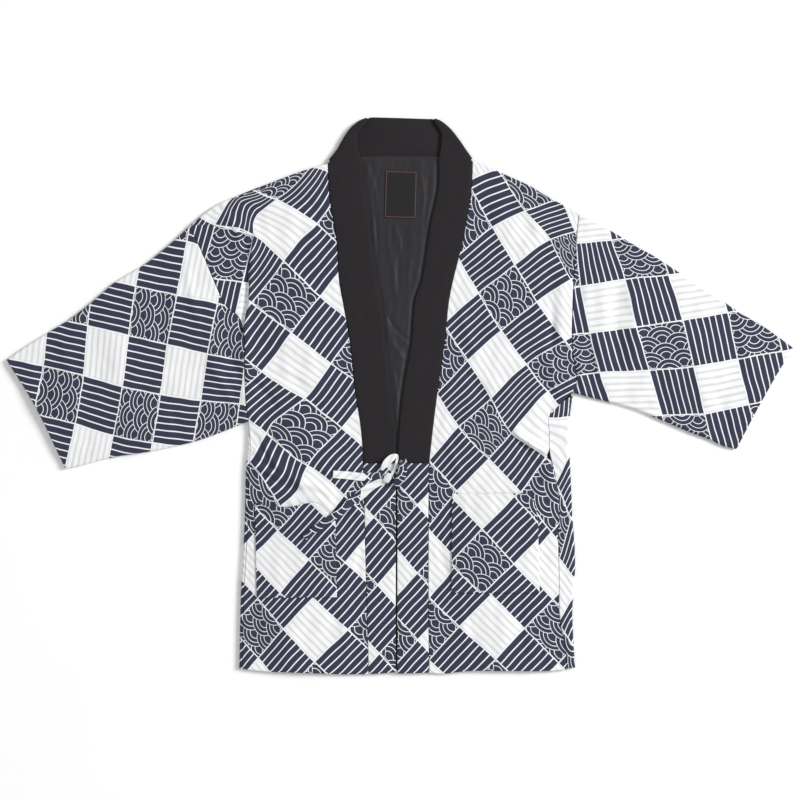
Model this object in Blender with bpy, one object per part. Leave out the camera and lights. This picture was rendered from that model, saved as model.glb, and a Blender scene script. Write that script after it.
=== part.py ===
"""A hanten, the short padded house jacket, laid flat on its back with the fronts closed and tied.

x runs across the jacket, y from the hem towards the collar, z up from the surface it lies on.
Left and right are as seen from above. Sizes and tables are in millimetres.
"""
import math

import bpy
import numpy as np

MM = 0.001

# Walls of the cloth
BACK_WALL = 3.2
FRONT_WALL = 3.2
SLEEVE_WALL = 3.2
COLLAR_WALL = 3.6
BAND_WALL = 3.4
LINING_WALL = 1.2
POCKET_WALL = 2.0
LABEL_WALL = 0.9
TIE_WALL = 1.6

GAP = 0.3            # between layers that touch
SEAM_BACK = 0.25     # how far each piece stands back from a seam line
RIM = 1.4            # width of the rounded edge of a padded piece
THIN_RIM = 0.5       # the same on lining, label and ties
EDGE_LIFT = 0.7      # air between the layers at a folded edge
PUFF = 3.2           # extra height of the padding in the middle of a panel
PUFF_REACH = 62.0    # how far from an edge the padding takes to fill out
CALM_REACH = 14.0    # how far from an edge the folds take to reach their full height
FOLD_PAST = 0.15     # how far a fold runs on past its ends, in shares of its length
FOLD_FADE = 0.35     # how long it takes to fade there, in the same shares
POCKET_BULGE = 2.6   # how far a pocket's mouth stands open
HEM_BOW = 4.0        # how far the back's hem bows down in its middle
FLAP_EASE = 12.0     # how far past the fold the turned-up side takes to follow the padding

# Heights that follow from the walls
FRONT_UNDER = BACK_WALL + GAP
EDGE_RADIUS = (FRONT_UNDER + EDGE_LIFT + FRONT_WALL) / 2
LINING_UNDER = BACK_WALL + GAP
COLLAR_HIGH = LINING_UNDER + LINING_WALL + GAP + COLLAR_WALL / 2
COLLAR_LOW = COLLAR_WALL / 2
BAND_UNDER = {"left": FRONT_UNDER + 0.5, "right": FRONT_UNDER + 1.1}

# Grid of the panels: rows from hem to underarm, underarm to shoulder, and along band and collar
SIDE_ROWS = 14
ARM_ROWS = 12
BAND_ROWS = 11
COLLAR_ROWS = SIDE_ROWS + ARM_ROWS - BAND_ROWS
BAND_TOP = -110.6    # where the printed bands end and the black collar starts
FRONT_COLUMNS = 11
SLEEVE_STATIONS = 12
COLLAR_CELLS = 4
WRAP_CELLS = 5
ARC_STEPS = 6
POCKET_ROWS = (4, 9)

# Outlines of each half, (x, y); every list runs upwards or outwards from the body
HALVES = {
    "left": {
        "side": [(-266, -450), (-265, -396), (-263, -317), (-261, -285), (-258, -229),
                 (-256, -167), (-254.8, -112), (-251.8, -88), (-250.8, -42)],
        "flap": [(-450, 5), (-100, 5), (-42, 1.5)],
        "armhole": [(-250.5, -42), (-255, -5), (-257, 55), (-258, 105), (-271, 137),
                    (-291, 152), (-302, 178), (-334, 252), (-348, 280.5)],
        "shoulder": [(-348, 280.5), (-322, 302), (-298, 318), (-251, 336.5), (-215, 351.5),
                     (-167, 370), (-136, 379.5), (-119.3, 384.5)],
        "sleeve_top": [(-348, 280.5), (-377, 254), (-431, 211), (-453, 200), (-476, 184.5),
                       (-504, 160), (-550, 124), (-581, 105.5), (-616, 84), (-650.5, 60)],
        "sleeve_bottom": [(-250.5, -42), (-334, -73.5), (-410, -91), (-476, -101.5),
                          (-541, -118.5), (-553, -120.5)],
        "cuff": [(-553, -120.5), (-603, -16.5), (-650.5, 60)],
        "seam": [(-52.5, -459.5), (-57, -285), (-61.5, BAND_TOP), (-63.7, -62.7), (-74.7, 11.6),
                 (-82.2, 84.2), (-95, 158.4), (-101.1, 193), (-104.4, 252.5), (-116.6, 330),
                 (-119.3, 384.5)],
        "inner": [(-7.3, BAND_TOP), (-8.1, -62.7), (-18.2, 11.6), (-26.9, 84.2), (-33.5, 158.4),
                  (-41.7, 193), (-49, 252.5), (-53.3, 297), (-61.9, 341.6), (-63.7, 387)],
        "hem": [(-266, -450), (-228, -454.5), (-165, -457), (-100, -459.5), (-52.5, -459.5)],
        "centre": [(-7.3, -456.5), (-7.3, BAND_TOP)],
        "neck": [(-119.3, 384.5), (-92, 390), (-64, 394)],
        "fold": [(-118.6, 389.8), (-105, 407), (-96.5, 422.4), (-82.5, 442.7), (-66.5, 455.4),
                 (-56, 459.8)],
        "fan_seam": [(-118.2, 385.4), (-117, 386.4)],
        "fan_free": [(-71, 410), (-70, 434)],
        "under_free": [(-50, 460.4), (-44, 460.8)],
        "pocket": {"first": 1, "last": 8, "low": [(-237, -333), (-104.5, -332)],
                   "mouth": [(-240, -176.5), (-217, -181), (-195, -182.5), (-165.5, -180),
                             (-144, -174), (-118, -194), (-107, -206)]},
    },
    "right": {
        "side": [(289, -449), (286.6, -412), (284.5, -350), (288.6, -297), (288, -244),
                 (284.5, -201), (282, -138), (279.3, -90), (281, -25), (284.5, 6)],
        "flap": [(-450, 14), (-419, 14), (-402, 16), (-376, 21.5), (-336, 23), (-298, 27), (-229, 27.5),
                 (-205, 22), (-180, 20.5), (-145, 24), (-106, 25), (-86, 20), (-20, 3.5), (6, 1.5)],
        "armhole": [(283, 6), (283.3, 72), (285, 176), (291, 268), (295, 302)],
        "shoulder": [(295, 302), (282, 309), (263.5, 318.5), (242, 330), (212, 348),
                     (176, 364.5), (153, 375), (135, 385), (119.1, 387.8)],
        "sleeve_top": [(295, 302), (342, 276.5), (372, 258), (424, 228), (468, 199), (498, 180),
                       (531, 158), (557, 140), (597, 117), (650.5, 78.5)],
        "sleeve_bottom": [(283, 6), (316, -3), (361, -14), (391, -23), (430, -39.5), (483, -62),
                          (508, -71), (542, -86), (555, -88)],
        "cuff": [(555, -88), (592.5, -16), (631.5, 51.5), (650.5, 78.5)],
        "seam": [(47.5, -457), (46, -285), (47.4, BAND_TOP), (52.3, -62.7), (61.5, 11.6),
                 (72.1, 84.2), (80, 158.4), (87, 193), (101.8, 252.5), (117, 341.6),
                 (119.1, 387.8)],
        "inner": [(-5.2, BAND_TOP), (-2.6, -62.7), (5, 11.6), (17.7, 84.2), (24.3, 158.4),
                  (35.8, 193), (44.9, 252.5), (52.3, 297), (62.6, 341.6), (63, 390)],
        "hem": [(289, -449), (275, -452), (247, -454), (165, -454), (115, -454),
                (66, -459), (47.5, -457)],
        "centre": [(-5.4, -458.5), (-5.4, BAND_TOP)],
        "neck": [(119.1, 387.8), (92, 391.8), (63, 394)],
        "fold": [(119.3, 392.2), (109, 406.5), (98.5, 422), (82.5, 442), (66, 455.2), (57, 458.6)],
        "fan_seam": [(118, 388.6), (116.8, 389.5)],
        "fan_free": [(66.5, 411), (68.5, 434)],
        "under_free": [(53, 458.3), (48, 458)],
        "pocket": {"first": 2, "last": 9, "low": [(229.7, -324.7), (84.5, -325)],
                   "mouth": [(227, -205), (221, -176), (211, -163), (170, -161),
                             (125, -161.5), (85.3, -161.5)]},
    },
}
NECK_MIDDLE = (0, 394.6)
LINING_TOP_MIDDLE = (0, 394.1)
COLLAR_TOP_MIDDLE = (1, 459.6)

# Largest folds: the line each runs along, how far it bows aside, its half width and its height,
# negative for a trough
FOLDS = [
    # x0, y0, x1, y1, bow, width, height
    (-241, 270, -258, 100, 6, 11, -3.4),
    (-251, 118, -249, -52, 0, 15, 3.6),
    (-300, 282, -232, 268, 4, 13, 2.4),
    (-240, -92, -160, -150, -6, 17, 3.2),
    (-176, -140, -112, -184, 5, 14, 2.8),
    (-225, 120, -140, 60, 10, 20, 2.2),
    (184, -58, 246, -98, -4, 12, 3.6),
    (192, -78, 250, -116, -4, 10, -2.6),
    (284, 10, 232, 82, 6, 10, 2.6),
    (284, 30, 246, 120, 4, 9, -2.0),
    (262, 205, 259, 30, 4, 14, 2.4),
    (356, 196, 362, 52, -5, 13, -2.8),
    (330, 200, 334, 60, 4, 12, 1.8),
    (-330, 170, -300, 10, 8, 16, 2.4),
    (-470, 120, -440, -60, -8, 18, 2.0),
    (470, 120, 505, -30, 6, 18, 2.0),
    (-180, -452, -176, -352, 4, 22, 2.2),
    (160, -450, 166, -345, -4, 22, 2.0),
]

# Ties: x, y and width of each ribbon from the knot outwards
TAIL_SHORT = [(-30, -131, 9), (-44, -132, 12), (-62, -133.5, 13), (-86, -131, 13),
              (-111, -129, 12.5)]
TAIL_LONG = [(-27, -143, 9), (-43, -151, 12.5), (-63, -162, 16), (-82, -175, 14), (-99, -191, 13),
             (-122, -207, 12), (-142, -221, 11), (-158, -233, 10)]
# Loops: x, y, height over the band and width, out along the lower run and back along the upper one
LOOP_WHITE = [(-14, -127, 1.6, 8), (-9, -112, 1.6, 9), (-5, -101, 2.0, 10), (-3, -97, 5.2, 11),
              (-9, -101, 8.4, 12), (-21, -111, 8.2, 13), (-30, -121, 6.6, 11), (-30, -126, 5.2, 8)]
LOOP_NAVY = [(-10, -134, 1.6, 8), (2, -121, 1.6, 10), (8, -111, 2.0, 11), (10, -108, 5.0, 12),
             (10, -115, 8.2, 13), (6, -128, 8.8, 13), (0, -138, 7.2, 12), (-10, -141, 5.6, 8)]
BAND_SIDE = -60                     # x of the left band's outer edge under the ties
POCKET_AREA = (-248, -98, -168)     # first and last x of the left pocket, and y of its mouth
KNOT_CENTRE = (-21, -135)
KNOT_SIZE = (12, 17, 8)
KNOT_TURN = math.radians(-22)

LABEL_CENTRE = (0.7, 332.5)
LABEL_SIZE = (52, 77.5)
LABEL_TURN = math.radians(-1.5)

COLOURS = {
    # name: red, green, blue (linear), roughness
    "print": (0.040, 0.045, 0.080, 0.85),
    "black": (0.024, 0.021, 0.023, 0.80),
    "lining": (0.055, 0.052, 0.058, 0.45),
    "label": (0.012, 0.011, 0.013, 0.60),
    "tie_white": (0.86, 0.86, 0.88, 0.85),
}


def smooth_line(points, cells):
    """Points spaced evenly along a smooth curve through the given ones, which may be 2-D or 3-D."""
    p = np.asarray(points, float)
    p = np.vstack([2 * p[0] - p[1], p, 2 * p[-1] - p[-2]])
    step = np.sqrt(np.maximum(np.linalg.norm(np.diff(p, axis=0), axis=1), 1e-6))
    knot = np.concatenate([[0], np.cumsum(step)])
    dense = []
    for k in range(1, len(p) - 2):
        t = np.linspace(knot[k], knot[k + 1], 17)[:-1, None]
        t0, t1, t2, t3 = knot[k - 1:k + 3]
        a1 = ((t1 - t) * p[k - 1] + (t - t0) * p[k]) / (t1 - t0)
        a2 = ((t2 - t) * p[k] + (t - t1) * p[k + 1]) / (t2 - t1)
        a3 = ((t3 - t) * p[k + 1] + (t - t2) * p[k + 2]) / (t3 - t2)
        b1 = ((t2 - t) * a1 + (t - t0) * a2) / (t2 - t0)
        b2 = ((t3 - t) * a2 + (t - t1) * a3) / (t3 - t1)
        dense.append(((t2 - t) * b1 + (t - t1) * b2) / (t2 - t1))
    dense = np.vstack(dense + [p[-2:-1]])
    run = np.concatenate([[0], np.cumsum(np.linalg.norm(np.diff(dense, axis=0), axis=1))])
    even = np.linspace(0, run[-1], cells + 1)
    return np.stack([np.interp(even, run, dense[:, k]) for k in range(dense.shape[1])], axis=1)


def coons(first, last, start, end):
    """A grid between four edges: rows run along first and last, columns from start to end."""
    u = np.linspace(0, 1, len(start))[None, :, None]
    v = np.linspace(0, 1, len(first))[:, None, None]
    across = first[:, None] * (1 - u) + last[:, None] * u
    along = start[None] * (1 - v) + end[None] * v
    corners = ((1 - u) * (1 - v) * first[0] + u * (1 - v) * last[0]
               + (1 - u) * v * first[-1] + u * v * last[-1])
    return across + along - corners


def pin_block(grid, rows, columns, block):
    """Move part of a grid onto a block of points, and ease the rest of the grid after it."""
    (r0, r1), (c0, c1) = rows, columns
    shift = block - grid[r0:r1 + 1, c0:c1 + 1]
    moved = grid.copy()
    for r in range(grid.shape[0]):
        ease_r = min(1.0, r / r0, (grid.shape[0] - 1 - r) / (grid.shape[0] - 1 - r1))
        for c in range(grid.shape[1]):
            ease_c = min(1.0, c / c0, (grid.shape[1] - 1 - c) / (grid.shape[1] - 1 - c1))
            near = shift[min(max(r, r0), r1) - r0, min(max(c, c0), c1) - c0]
            moved[r, c] += near * ease_r * ease_c
    return moved


def pull_in(grid, distance):
    """Draw the border of a grid inwards along its own rows and columns."""
    result = grid.copy()
    for axis in (0, 1):
        g = np.swapaxes(grid, 0, axis)
        out = np.swapaxes(result, 0, axis)
        for edge, near in ((0, 1), (-1, -2)):
            step = g[near] - g[edge]
            length = np.maximum(np.linalg.norm(step, axis=-1, keepdims=True), 1e-9)
            out[edge] += step / length * np.minimum(distance, 0.4 * length)
    return result


def distance_to(x, y, lines):
    """Distance from points to the nearest of several polylines."""
    nearest = np.full(np.shape(x), 1e9)
    for line in lines:
        for (ax, ay), (bx, by) in zip(line[:-1], line[1:]):
            dx, dy = bx - ax, by - ay
            t = np.clip(((x - ax) * dx + (y - ay) * dy) / (dx * dx + dy * dy), 0, 1)
            nearest = np.minimum(nearest, np.hypot(x - ax - t * dx, y - ay - t * dy))
    return nearest


def silhouette():
    """The closed or stitched edges, where the padding is pressed flat."""
    keys = ("side", "sleeve_bottom", "sleeve_top", "shoulder", "seam")
    return [np.asarray(half[key], float) for half in HALVES.values() for key in keys]


EDGES = silhouette()


def lift(x, y):
    """How far the upper layer stands over its lowest place: padding, ridges and troughs."""
    away = distance_to(x, y, EDGES)
    height = PUFF * (1 - np.exp(-(away / PUFF_REACH) ** 2))
    for x0, y0, x1, y1, bow, width, rise in FOLDS:
        length = math.hypot(x1 - x0, y1 - y0)
        ux, uy = (x1 - x0) / length, (y1 - y0) / length
        t = ((x - x0) * ux + (y - y0) * uy) / length
        aside = (y - y0) * ux - (x - x0) * uy - bow * 4 * t * (1 - t)
        fade = np.clip(np.minimum(t + FOLD_PAST, 1 + FOLD_PAST - t) / FOLD_FADE, 0, 1)
        height = height + rise * np.exp(-(aside / width) ** 2) * fade * fade * (3 - 2 * fade)
    calm = np.clip(away / CALM_REACH, 0, 1)
    height = EDGE_LIFT + height * calm * calm * (3 - 2 * calm)
    return np.maximum(height, 0.05)


def front_top(x, y):
    """Height of the fronts' outer face."""
    return FRONT_UNDER + FRONT_WALL + lift(x, y)


def with_height(flat, z):
    """Points of a flat grid at the given heights."""
    return np.concatenate([flat, np.broadcast_to(z, flat.shape[:2])[..., None]], axis=2)


def make_object(name, points, faces, colour):
    """A closed mesh in metres, shaded smooth, with its own material."""
    mesh = bpy.data.meshes.new(name)
    mesh.from_pydata([tuple(p * MM) for p in points], [], faces)
    mesh.validate()
    mesh.shade_smooth()
    mesh.set_sharp_from_angle(angle=math.radians(50))
    red, green, blue, roughness = COLOURS[colour]
    material = bpy.data.materials.new(name)
    material.use_nodes = True
    shader = material.node_tree.nodes["Principled BSDF"]
    shader.inputs["Base Color"].default_value = (red, green, blue, 1)
    shader.inputs["Roughness"].default_value = roughness
    shader.inputs["Metallic"].default_value = 0.0
    mesh.materials.append(material)
    piece = bpy.data.objects.new(name, mesh)
    bpy.context.scene.collection.objects.link(piece)
    return piece


def grid_faces(rows, columns, first, flip):
    """Triangles of a grid of points, all split along the same diagonal."""
    faces = []
    for r in range(rows - 1):
        for c in range(columns - 1):
            a = first + r * columns + c
            b, d = a + 1, a + columns
            e = d + 1
            faces += [(a, e, b), (a, d, e)] if flip else [(a, b, e), (a, e, d)]
    return faces


def sheet(name, middle, normal, wall, colour, rim=RIM):
    """A piece of cloth with real thickness and a rounded rim, round its middle surface."""
    rows, columns = middle.shape[:2]
    face = pull_in(middle, rim)
    count = rows * columns
    points = np.vstack([(face + normal * wall / 2).reshape(-1, 3),
                        (face - normal * wall / 2).reshape(-1, 3)])
    border = ([(0, c) for c in range(columns)] + [(r, columns - 1) for r in range(1, rows)]
              + [(rows - 1, c) for c in range(columns - 2, -1, -1)]
              + [(r, 0) for r in range(rows - 2, 0, -1)])
    points = np.vstack([points, [middle[r, c] for r, c in border]])
    ring = 2 * count
    corner = (middle[0, 1] - middle[0, 0])
    turn = np.dot(np.cross(corner, middle[1, 0] - middle[0, 0]), normal[0, 0])
    flip = turn < 0
    faces = grid_faces(rows, columns, 0, flip) + grid_faces(rows, columns, count, not flip)
    for k, (r, c) in enumerate(border):
        r2, c2 = border[(k + 1) % len(border)]
        a, b = r * columns + c, r2 * columns + c2
        m, n = ring + k, ring + (k + 1) % len(border)
        strip = [(a, m, n), (a, n, b), (m, count + a, count + b), (m, count + b, n)]
        faces += [f[::-1] for f in strip] if flip else strip
    return make_object(name, points, faces, colour)


def upright(flat):
    """Normals of a piece that lies flat, face up."""
    return np.broadcast_to(np.array([0.0, 0.0, 1.0]), flat.shape[:2] + (3,))


def side_lines(half):
    """Silhouette, front's side edge, and flap width at each row from hem to underarm."""
    outline = smooth_line(half["side"], SIDE_ROWS)
    heights, widths = zip(*half["flap"])
    flap = np.interp(outline[:, 1], heights, widths)
    inwards = -np.sign(outline[0, 0])
    edge = outline + np.stack([flap * inwards, np.zeros_like(flap)], axis=1)
    hem = np.array(sorted(half["hem"]), float)
    edge[0, 1] = np.interp(edge[0, 0], hem[:, 0], hem[:, 1])
    return outline, edge, flap


def seam_line(half):
    """The line where a front meets band and collar, row by row."""
    points = half["seam"]
    end = [i for i, (_, y) in enumerate(points) if abs(y - BAND_TOP) < 0.1][0]
    band = smooth_line(points[:end + 1], BAND_ROWS)
    collar = smooth_line(points[end:], COLLAR_ROWS)
    return band, collar


def front_grid(half):
    """Flat grid of a front, from its side edge to its band, with the pocket's place pinned."""
    _, edge, _ = side_lines(half)
    arm = smooth_line(half["armhole"], ARM_ROWS)
    first = np.vstack([edge[:-1], arm])
    band, collar = seam_line(half)
    last = np.vstack([band, collar[1:]])
    hem = [tuple(first[0])] + [p for p in half["hem"][1:-1] if abs(p[0]) < abs(first[0][0]) - 8]
    start = smooth_line(hem + [tuple(last[0])], FRONT_COLUMNS)
    end = smooth_line(half["shoulder"], FRONT_COLUMNS)
    grid = coons(first, last, start, end)
    pocket = half["pocket"]
    block = pocket_block(pocket)
    grid = pin_block(grid, POCKET_ROWS, (pocket["first"], pocket["last"]), block)
    return pull_in(grid, SEAM_BACK)


def pocket_block(pocket):
    """The pocket's place on the front, from its lower edge to its curved mouth."""
    cells = pocket["last"] - pocket["first"]
    low = smooth_line(pocket["low"], cells)
    mouth = smooth_line(pocket["mouth"], cells)
    rows = POCKET_ROWS[1] - POCKET_ROWS[0]
    first = smooth_line([low[0], mouth[0]], rows)
    last = smooth_line([low[-1], mouth[-1]], rows)
    return coons(first, last, low, mouth)


def make_front(side, half):
    """A front with its padding and folds, and the patch pocket made from its own points."""
    flat = front_grid(half)
    under = FRONT_UNDER + lift(flat[..., 0], flat[..., 1])
    middle = with_height(flat, under + FRONT_WALL / 2)
    sheet("front_" + side, middle, upright(flat), FRONT_WALL, "print")
    pocket = half["pocket"]
    r0, r1 = POCKET_ROWS
    part = flat[r0:r1 + 1, pocket["first"]:pocket["last"] + 1]
    rows, columns = part.shape[:2]
    u = np.linspace(0, 1, columns)[None, :]
    v = np.linspace(0, 1, rows)[:, None]
    bulge = POCKET_BULGE * np.sin(math.pi * u) ** 0.7 * v ** 2
    base = front_top(part[..., 0], part[..., 1]) + GAP
    sheet("pocket_" + side, with_height(part, base + bulge + POCKET_WALL / 2), upright(part),
          POCKET_WALL, "print", rim=0.8)


def make_band(side, half):
    """The printed lower end of the collar band, from the hem to the black collar's end."""
    outer, _ = seam_line(half)
    centre = smooth_line(half["centre"], BAND_ROWS)
    cells = 3
    start = smooth_line([outer[0], centre[0]], cells)
    end = smooth_line([outer[-1], centre[-1]], cells)
    flat = pull_in(coons(outer, centre, start, end), SEAM_BACK)
    sheet("band_" + side, with_height(flat, BAND_UNDER[side] + BAND_WALL / 2), upright(flat),
          BAND_WALL, "print")


def sleeve_ring(station, edge_low, edge_high, radius, top):
    """Section of a flattened sleeve: over its upper layer, round the top fold and back below."""
    angles = [math.radians(a) for a in (45, 0, -45)]
    upper = [(x, y, z) for (x, y), z in zip(station, top)]
    lower = [(x, y, EDGE_RADIUS - radius) for x, y in station[::-1]]

    def arc(axis, edge, turns):
        reach = (edge - axis) * radius / EDGE_RADIUS
        return [(*(axis + reach * math.cos(a)), EDGE_RADIUS + radius * math.sin(a)) for a in turns]

    return np.array(upper + arc(station[-1], edge_high, angles) + lower
                    + arc(station[0], edge_low, angles[::-1]))


def make_sleeve(side, half):
    """A sleeve as a tube pressed flat, folded along its top and open at both ends."""
    root = smooth_line(half["armhole"], ARM_ROWS)
    cuff = smooth_line(half["cuff"], ARM_ROWS)
    high = smooth_line(half["sleeve_top"], SLEEVE_STATIONS)
    low = smooth_line(half["sleeve_bottom"], SLEEVE_STATIONS)
    grid = coons(low, high, root, cuff)
    grid[0] += np.sign(grid[-1, 0, 0]) * np.array([2 * SEAM_BACK, 0])
    outline = grid.copy()
    for edge, near in ((0, 1), (-1, -2)):
        step = grid[:, near] - grid[:, edge]
        grid[:, edge] += step / np.linalg.norm(step, axis=1, keepdims=True) * EDGE_RADIUS
    outer, inner = [], []
    for k, station in enumerate(grid):
        top = 2 * EDGE_RADIUS - EDGE_LIFT + lift(station[:, 0], station[:, 1])
        top[0] = top[-1] = 2 * EDGE_RADIUS
        ends = (outline[k, 0], outline[k, -1])
        outer.append(sleeve_ring(station, *ends, EDGE_RADIUS, top))
        inner.append(sleeve_ring(station, *ends, EDGE_RADIUS - SLEEVE_WALL, top - SLEEVE_WALL))
    outer, inner = np.array(outer), np.array(inner)
    rims = [(outer[k] + inner[k]) / 2 for k in (0, -1)]
    for layer in (outer, inner):
        for edge, near in ((0, 1), (-1, -2)):
            step = layer[near] - layer[edge]
            layer[edge] += step / np.linalg.norm(step, axis=1, keepdims=True) * RIM
    close_tube("sleeve_" + side, outer, inner, rims)


def close_tube(name, outer, inner, rims):
    """Join the outer and inner rings of a tube, with a rounded rim at each open end."""
    stations, around = outer.shape[:2]
    count = stations * around
    points = np.vstack([outer.reshape(-1, 3), inner.reshape(-1, 3)] + rims)
    faces = []
    for m in range(around):
        n = (m + 1) % around
        for k in range(stations - 1):
            a, b = k * around + m, k * around + n
            c, d = a + around, b + around
            faces += [(a, b, d), (a, d, c)]
            faces += [(count + a, count + d, count + b), (count + a, count + c, count + d)]
        last = (stations - 1) * around
        low, high = 2 * count, 2 * count + around
        faces += [(m, low + m, low + n), (m, low + n, n)]
        faces += [(low + m, count + m, count + n), (low + m, count + n, low + n)]
        faces += [(last + m, last + n, high + n), (last + m, high + n, high + m)]
        inside = count + last
        faces += [(high + m, high + n, inside + n), (high + m, inside + n, inside + m)]
    corners = points[np.array(faces)]
    volume = (np.cross(corners[:, 0], corners[:, 1]) * corners[:, 2]).sum()
    if volume < 0:
        faces = [f[::-1] for f in faces]
    make_object(name, points, faces, "print")


def back_rows():
    """Unfolded back: for each row the fold axis, the reach past it, and the plain span between."""
    rows = {}
    for side, half in HALVES.items():
        outline, _, flap = side_lines(half)
        arm = smooth_line(half["armhole"], ARM_ROWS)
        inwards = -np.sign(outline[0, 0])
        turn = math.pi * (EDGE_RADIUS - BACK_WALL / 2)
        reach = np.where(flap >= EDGE_RADIUS, turn + flap - EDGE_RADIUS, turn * flap / EDGE_RADIUS)
        axis = outline.copy()
        axis[:, 0] += inwards * EDGE_RADIUS
        rows[side] = {
            "axis": np.vstack([axis[:-1], arm]),
            "reach": np.concatenate([reach[:-1], np.zeros(ARM_ROWS + 1)]),
            "outwards": -inwards,
        }
    return rows


def make_back():
    """The back, flat on the surface, whose sides turn up and over to the side seams."""
    rows = back_rows()
    left, right = rows["left"], rows["right"]
    neck = HALVES["left"]["neck"] + [NECK_MIDDLE] + HALVES["right"]["neck"][::-1]
    shoulder_cells = 3
    end = np.vstack([smooth_line(HALVES["left"]["shoulder"], shoulder_cells)[:-1],
                     np.asarray(neck, float),
                     smooth_line(HALVES["right"]["shoulder"], shoulder_cells)[::-1][1:]])
    share = np.linspace(0, 1, len(end))[:, None]
    bow = np.array([0, -4 * HEM_BOW]) * share * (1 - share)
    start = left["axis"][0] * (1 - share) + right["axis"][0] * share + bow
    flat = coons(left["axis"], right["axis"], start, end)
    flat[-1] += np.array([0, -SEAM_BACK])
    middle = np.zeros((flat.shape[0], flat.shape[1] + 2 * WRAP_CELLS, 3))
    normal = np.zeros_like(middle)
    normal[..., 2] = 1.0
    middle[:, WRAP_CELLS:-WRAP_CELLS] = with_height(flat, BACK_WALL / 2)
    bend = EDGE_RADIUS - BACK_WALL / 2
    least = 1.2 * WRAP_CELLS
    for r in range(flat.shape[0]):
        for info, order in ((left, range(WRAP_CELLS - 1, -1, -1)),
                            (right, range(-WRAP_CELLS, 0))):
            reach, out = info["reach"][r], info["outwards"]
            ax, ay = info["axis"][r]
            tuck = max(0.0, least - reach)
            inner = WRAP_CELLS if out < 0 else -WRAP_CELLS - 1
            middle[r, inner, 0] = ax - out * tuck
            for k, c in enumerate(order):
                s = -tuck + (reach + tuck) * (k + 1) / WRAP_CELLS
                if k == WRAP_CELLS - 1:
                    s -= SEAM_BACK
                angle = min(max(s / bend, 0.0), math.pi)
                beyond = max(s - math.pi * bend, 0.0)
                x = ax + out * (min(s, 0.0) + bend * math.sin(angle) - beyond)
                z = BACK_WALL / 2 + bend * (1 - math.cos(angle))
                if beyond > 0:
                    ease = min(beyond / FLAP_EASE, 1.0)
                    z += (float(lift(np.array(x), np.array(ay))) - EDGE_LIFT) * ease
                middle[r, c] = (x, ay, z)
                normal[r, c] = (-out * math.sin(angle), 0, math.cos(angle))
    sheet("back", middle, normal, BACK_WALL, "print", rim=1.0)


def corner_rungs(half):
    """The collar round one corner of the neck: fan, fold over, and on towards the middle."""
    across = np.linspace(0, 1, COLLAR_CELLS + 1)[:, None]
    up = np.array([0.0, 0.0, 1.0])
    fold = smooth_line(half["fold"], COLLAR_CELLS)
    chord = fold[-1] - fold[0]
    out = np.array([-chord[1], chord[0]]) / np.linalg.norm(chord)
    if out[1] < 0:
        out = -out
    bend = (COLLAR_HIGH - COLLAR_LOW) / 2
    axis = fold - out * (bend + COLLAR_WALL / 2)
    outwards = np.append(out, 0.0)
    rungs = []
    for seam, free in zip(half["fan_seam"], half["fan_free"]):
        line = np.array(seam) * (1 - across) + np.array(free) * across
        rungs.append((with_z(line, COLLAR_HIGH), up))
    for k in range(ARC_STEPS + 1):
        angle = math.pi * k / ARC_STEPS
        line = with_z(axis, (COLLAR_HIGH + COLLAR_LOW) / 2 + bend * math.cos(angle))
        rungs.append((line + outwards * bend * math.sin(angle),
                      outwards * math.sin(angle) + up * math.cos(angle)))
    for seam, free in zip(half["neck"][1:], half["under_free"]):
        line = (np.array(seam) + (0, SEAM_BACK)) * (1 - across) + np.array(free) * across
        rungs.append((with_z(line, COLLAR_LOW), -up))
    return rungs


def with_z(line, z):
    """A flat line of points at one height."""
    return np.column_stack([line, np.full(len(line), z)])


def front_rungs(half):
    """The collar along one front, from its lower end to the neck."""
    _, seam = seam_line(half)
    inner = smooth_line(half["inner"], COLLAR_ROWS)
    across = np.linspace(0, 1, COLLAR_CELLS + 1)[:, None]
    return [(with_z(s * (1 - across) + i * across, COLLAR_HIGH), np.array([0.0, 0.0, 1.0]))
            for s, i in zip(seam, inner)]


def make_collar():
    """One black band: up a front, folded under at the neck's corner, and down the other front."""
    across = np.linspace(0, 1, COLLAR_CELLS + 1)[:, None]
    middle_seam = np.array(NECK_MIDDLE) + (0, SEAM_BACK)
    middle = (with_z(middle_seam * (1 - across) + np.array(COLLAR_TOP_MIDDLE) * across, COLLAR_LOW),
              np.array([0.0, 0.0, -1.0]))
    left, right = HALVES["left"], HALVES["right"]
    rungs = (front_rungs(left) + corner_rungs(left) + [middle]
             + corner_rungs(right)[::-1] + front_rungs(right)[::-1])
    points = np.array([line for line, _ in rungs])
    normals = np.array([np.broadcast_to(n, line.shape) for line, n in rungs])
    sheet("collar", pull_in(points, SEAM_BACK), normals, COLLAR_WALL, "black", rim=1.2)


def make_lining():
    """The back's lining, which shows inside the neck and ends a little under the collar."""
    tuck, rows, cells = 10, 14, 4
    first = smooth_line([(x - tuck, y) for x, y in HALVES["left"]["inner"]], rows)
    last = smooth_line([(x + tuck, y) for x, y in HALVES["right"]["inner"]], rows)
    start = smooth_line([first[0], last[0]], cells)
    end = smooth_line([first[-1], LINING_TOP_MIDDLE, last[-1]], cells)
    flat = coons(first, last, start, end)
    sheet("back_lining", with_height(flat, LINING_UNDER + LINING_WALL / 2), upright(flat),
          LINING_WALL, "lining", rim=THIN_RIM)


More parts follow.
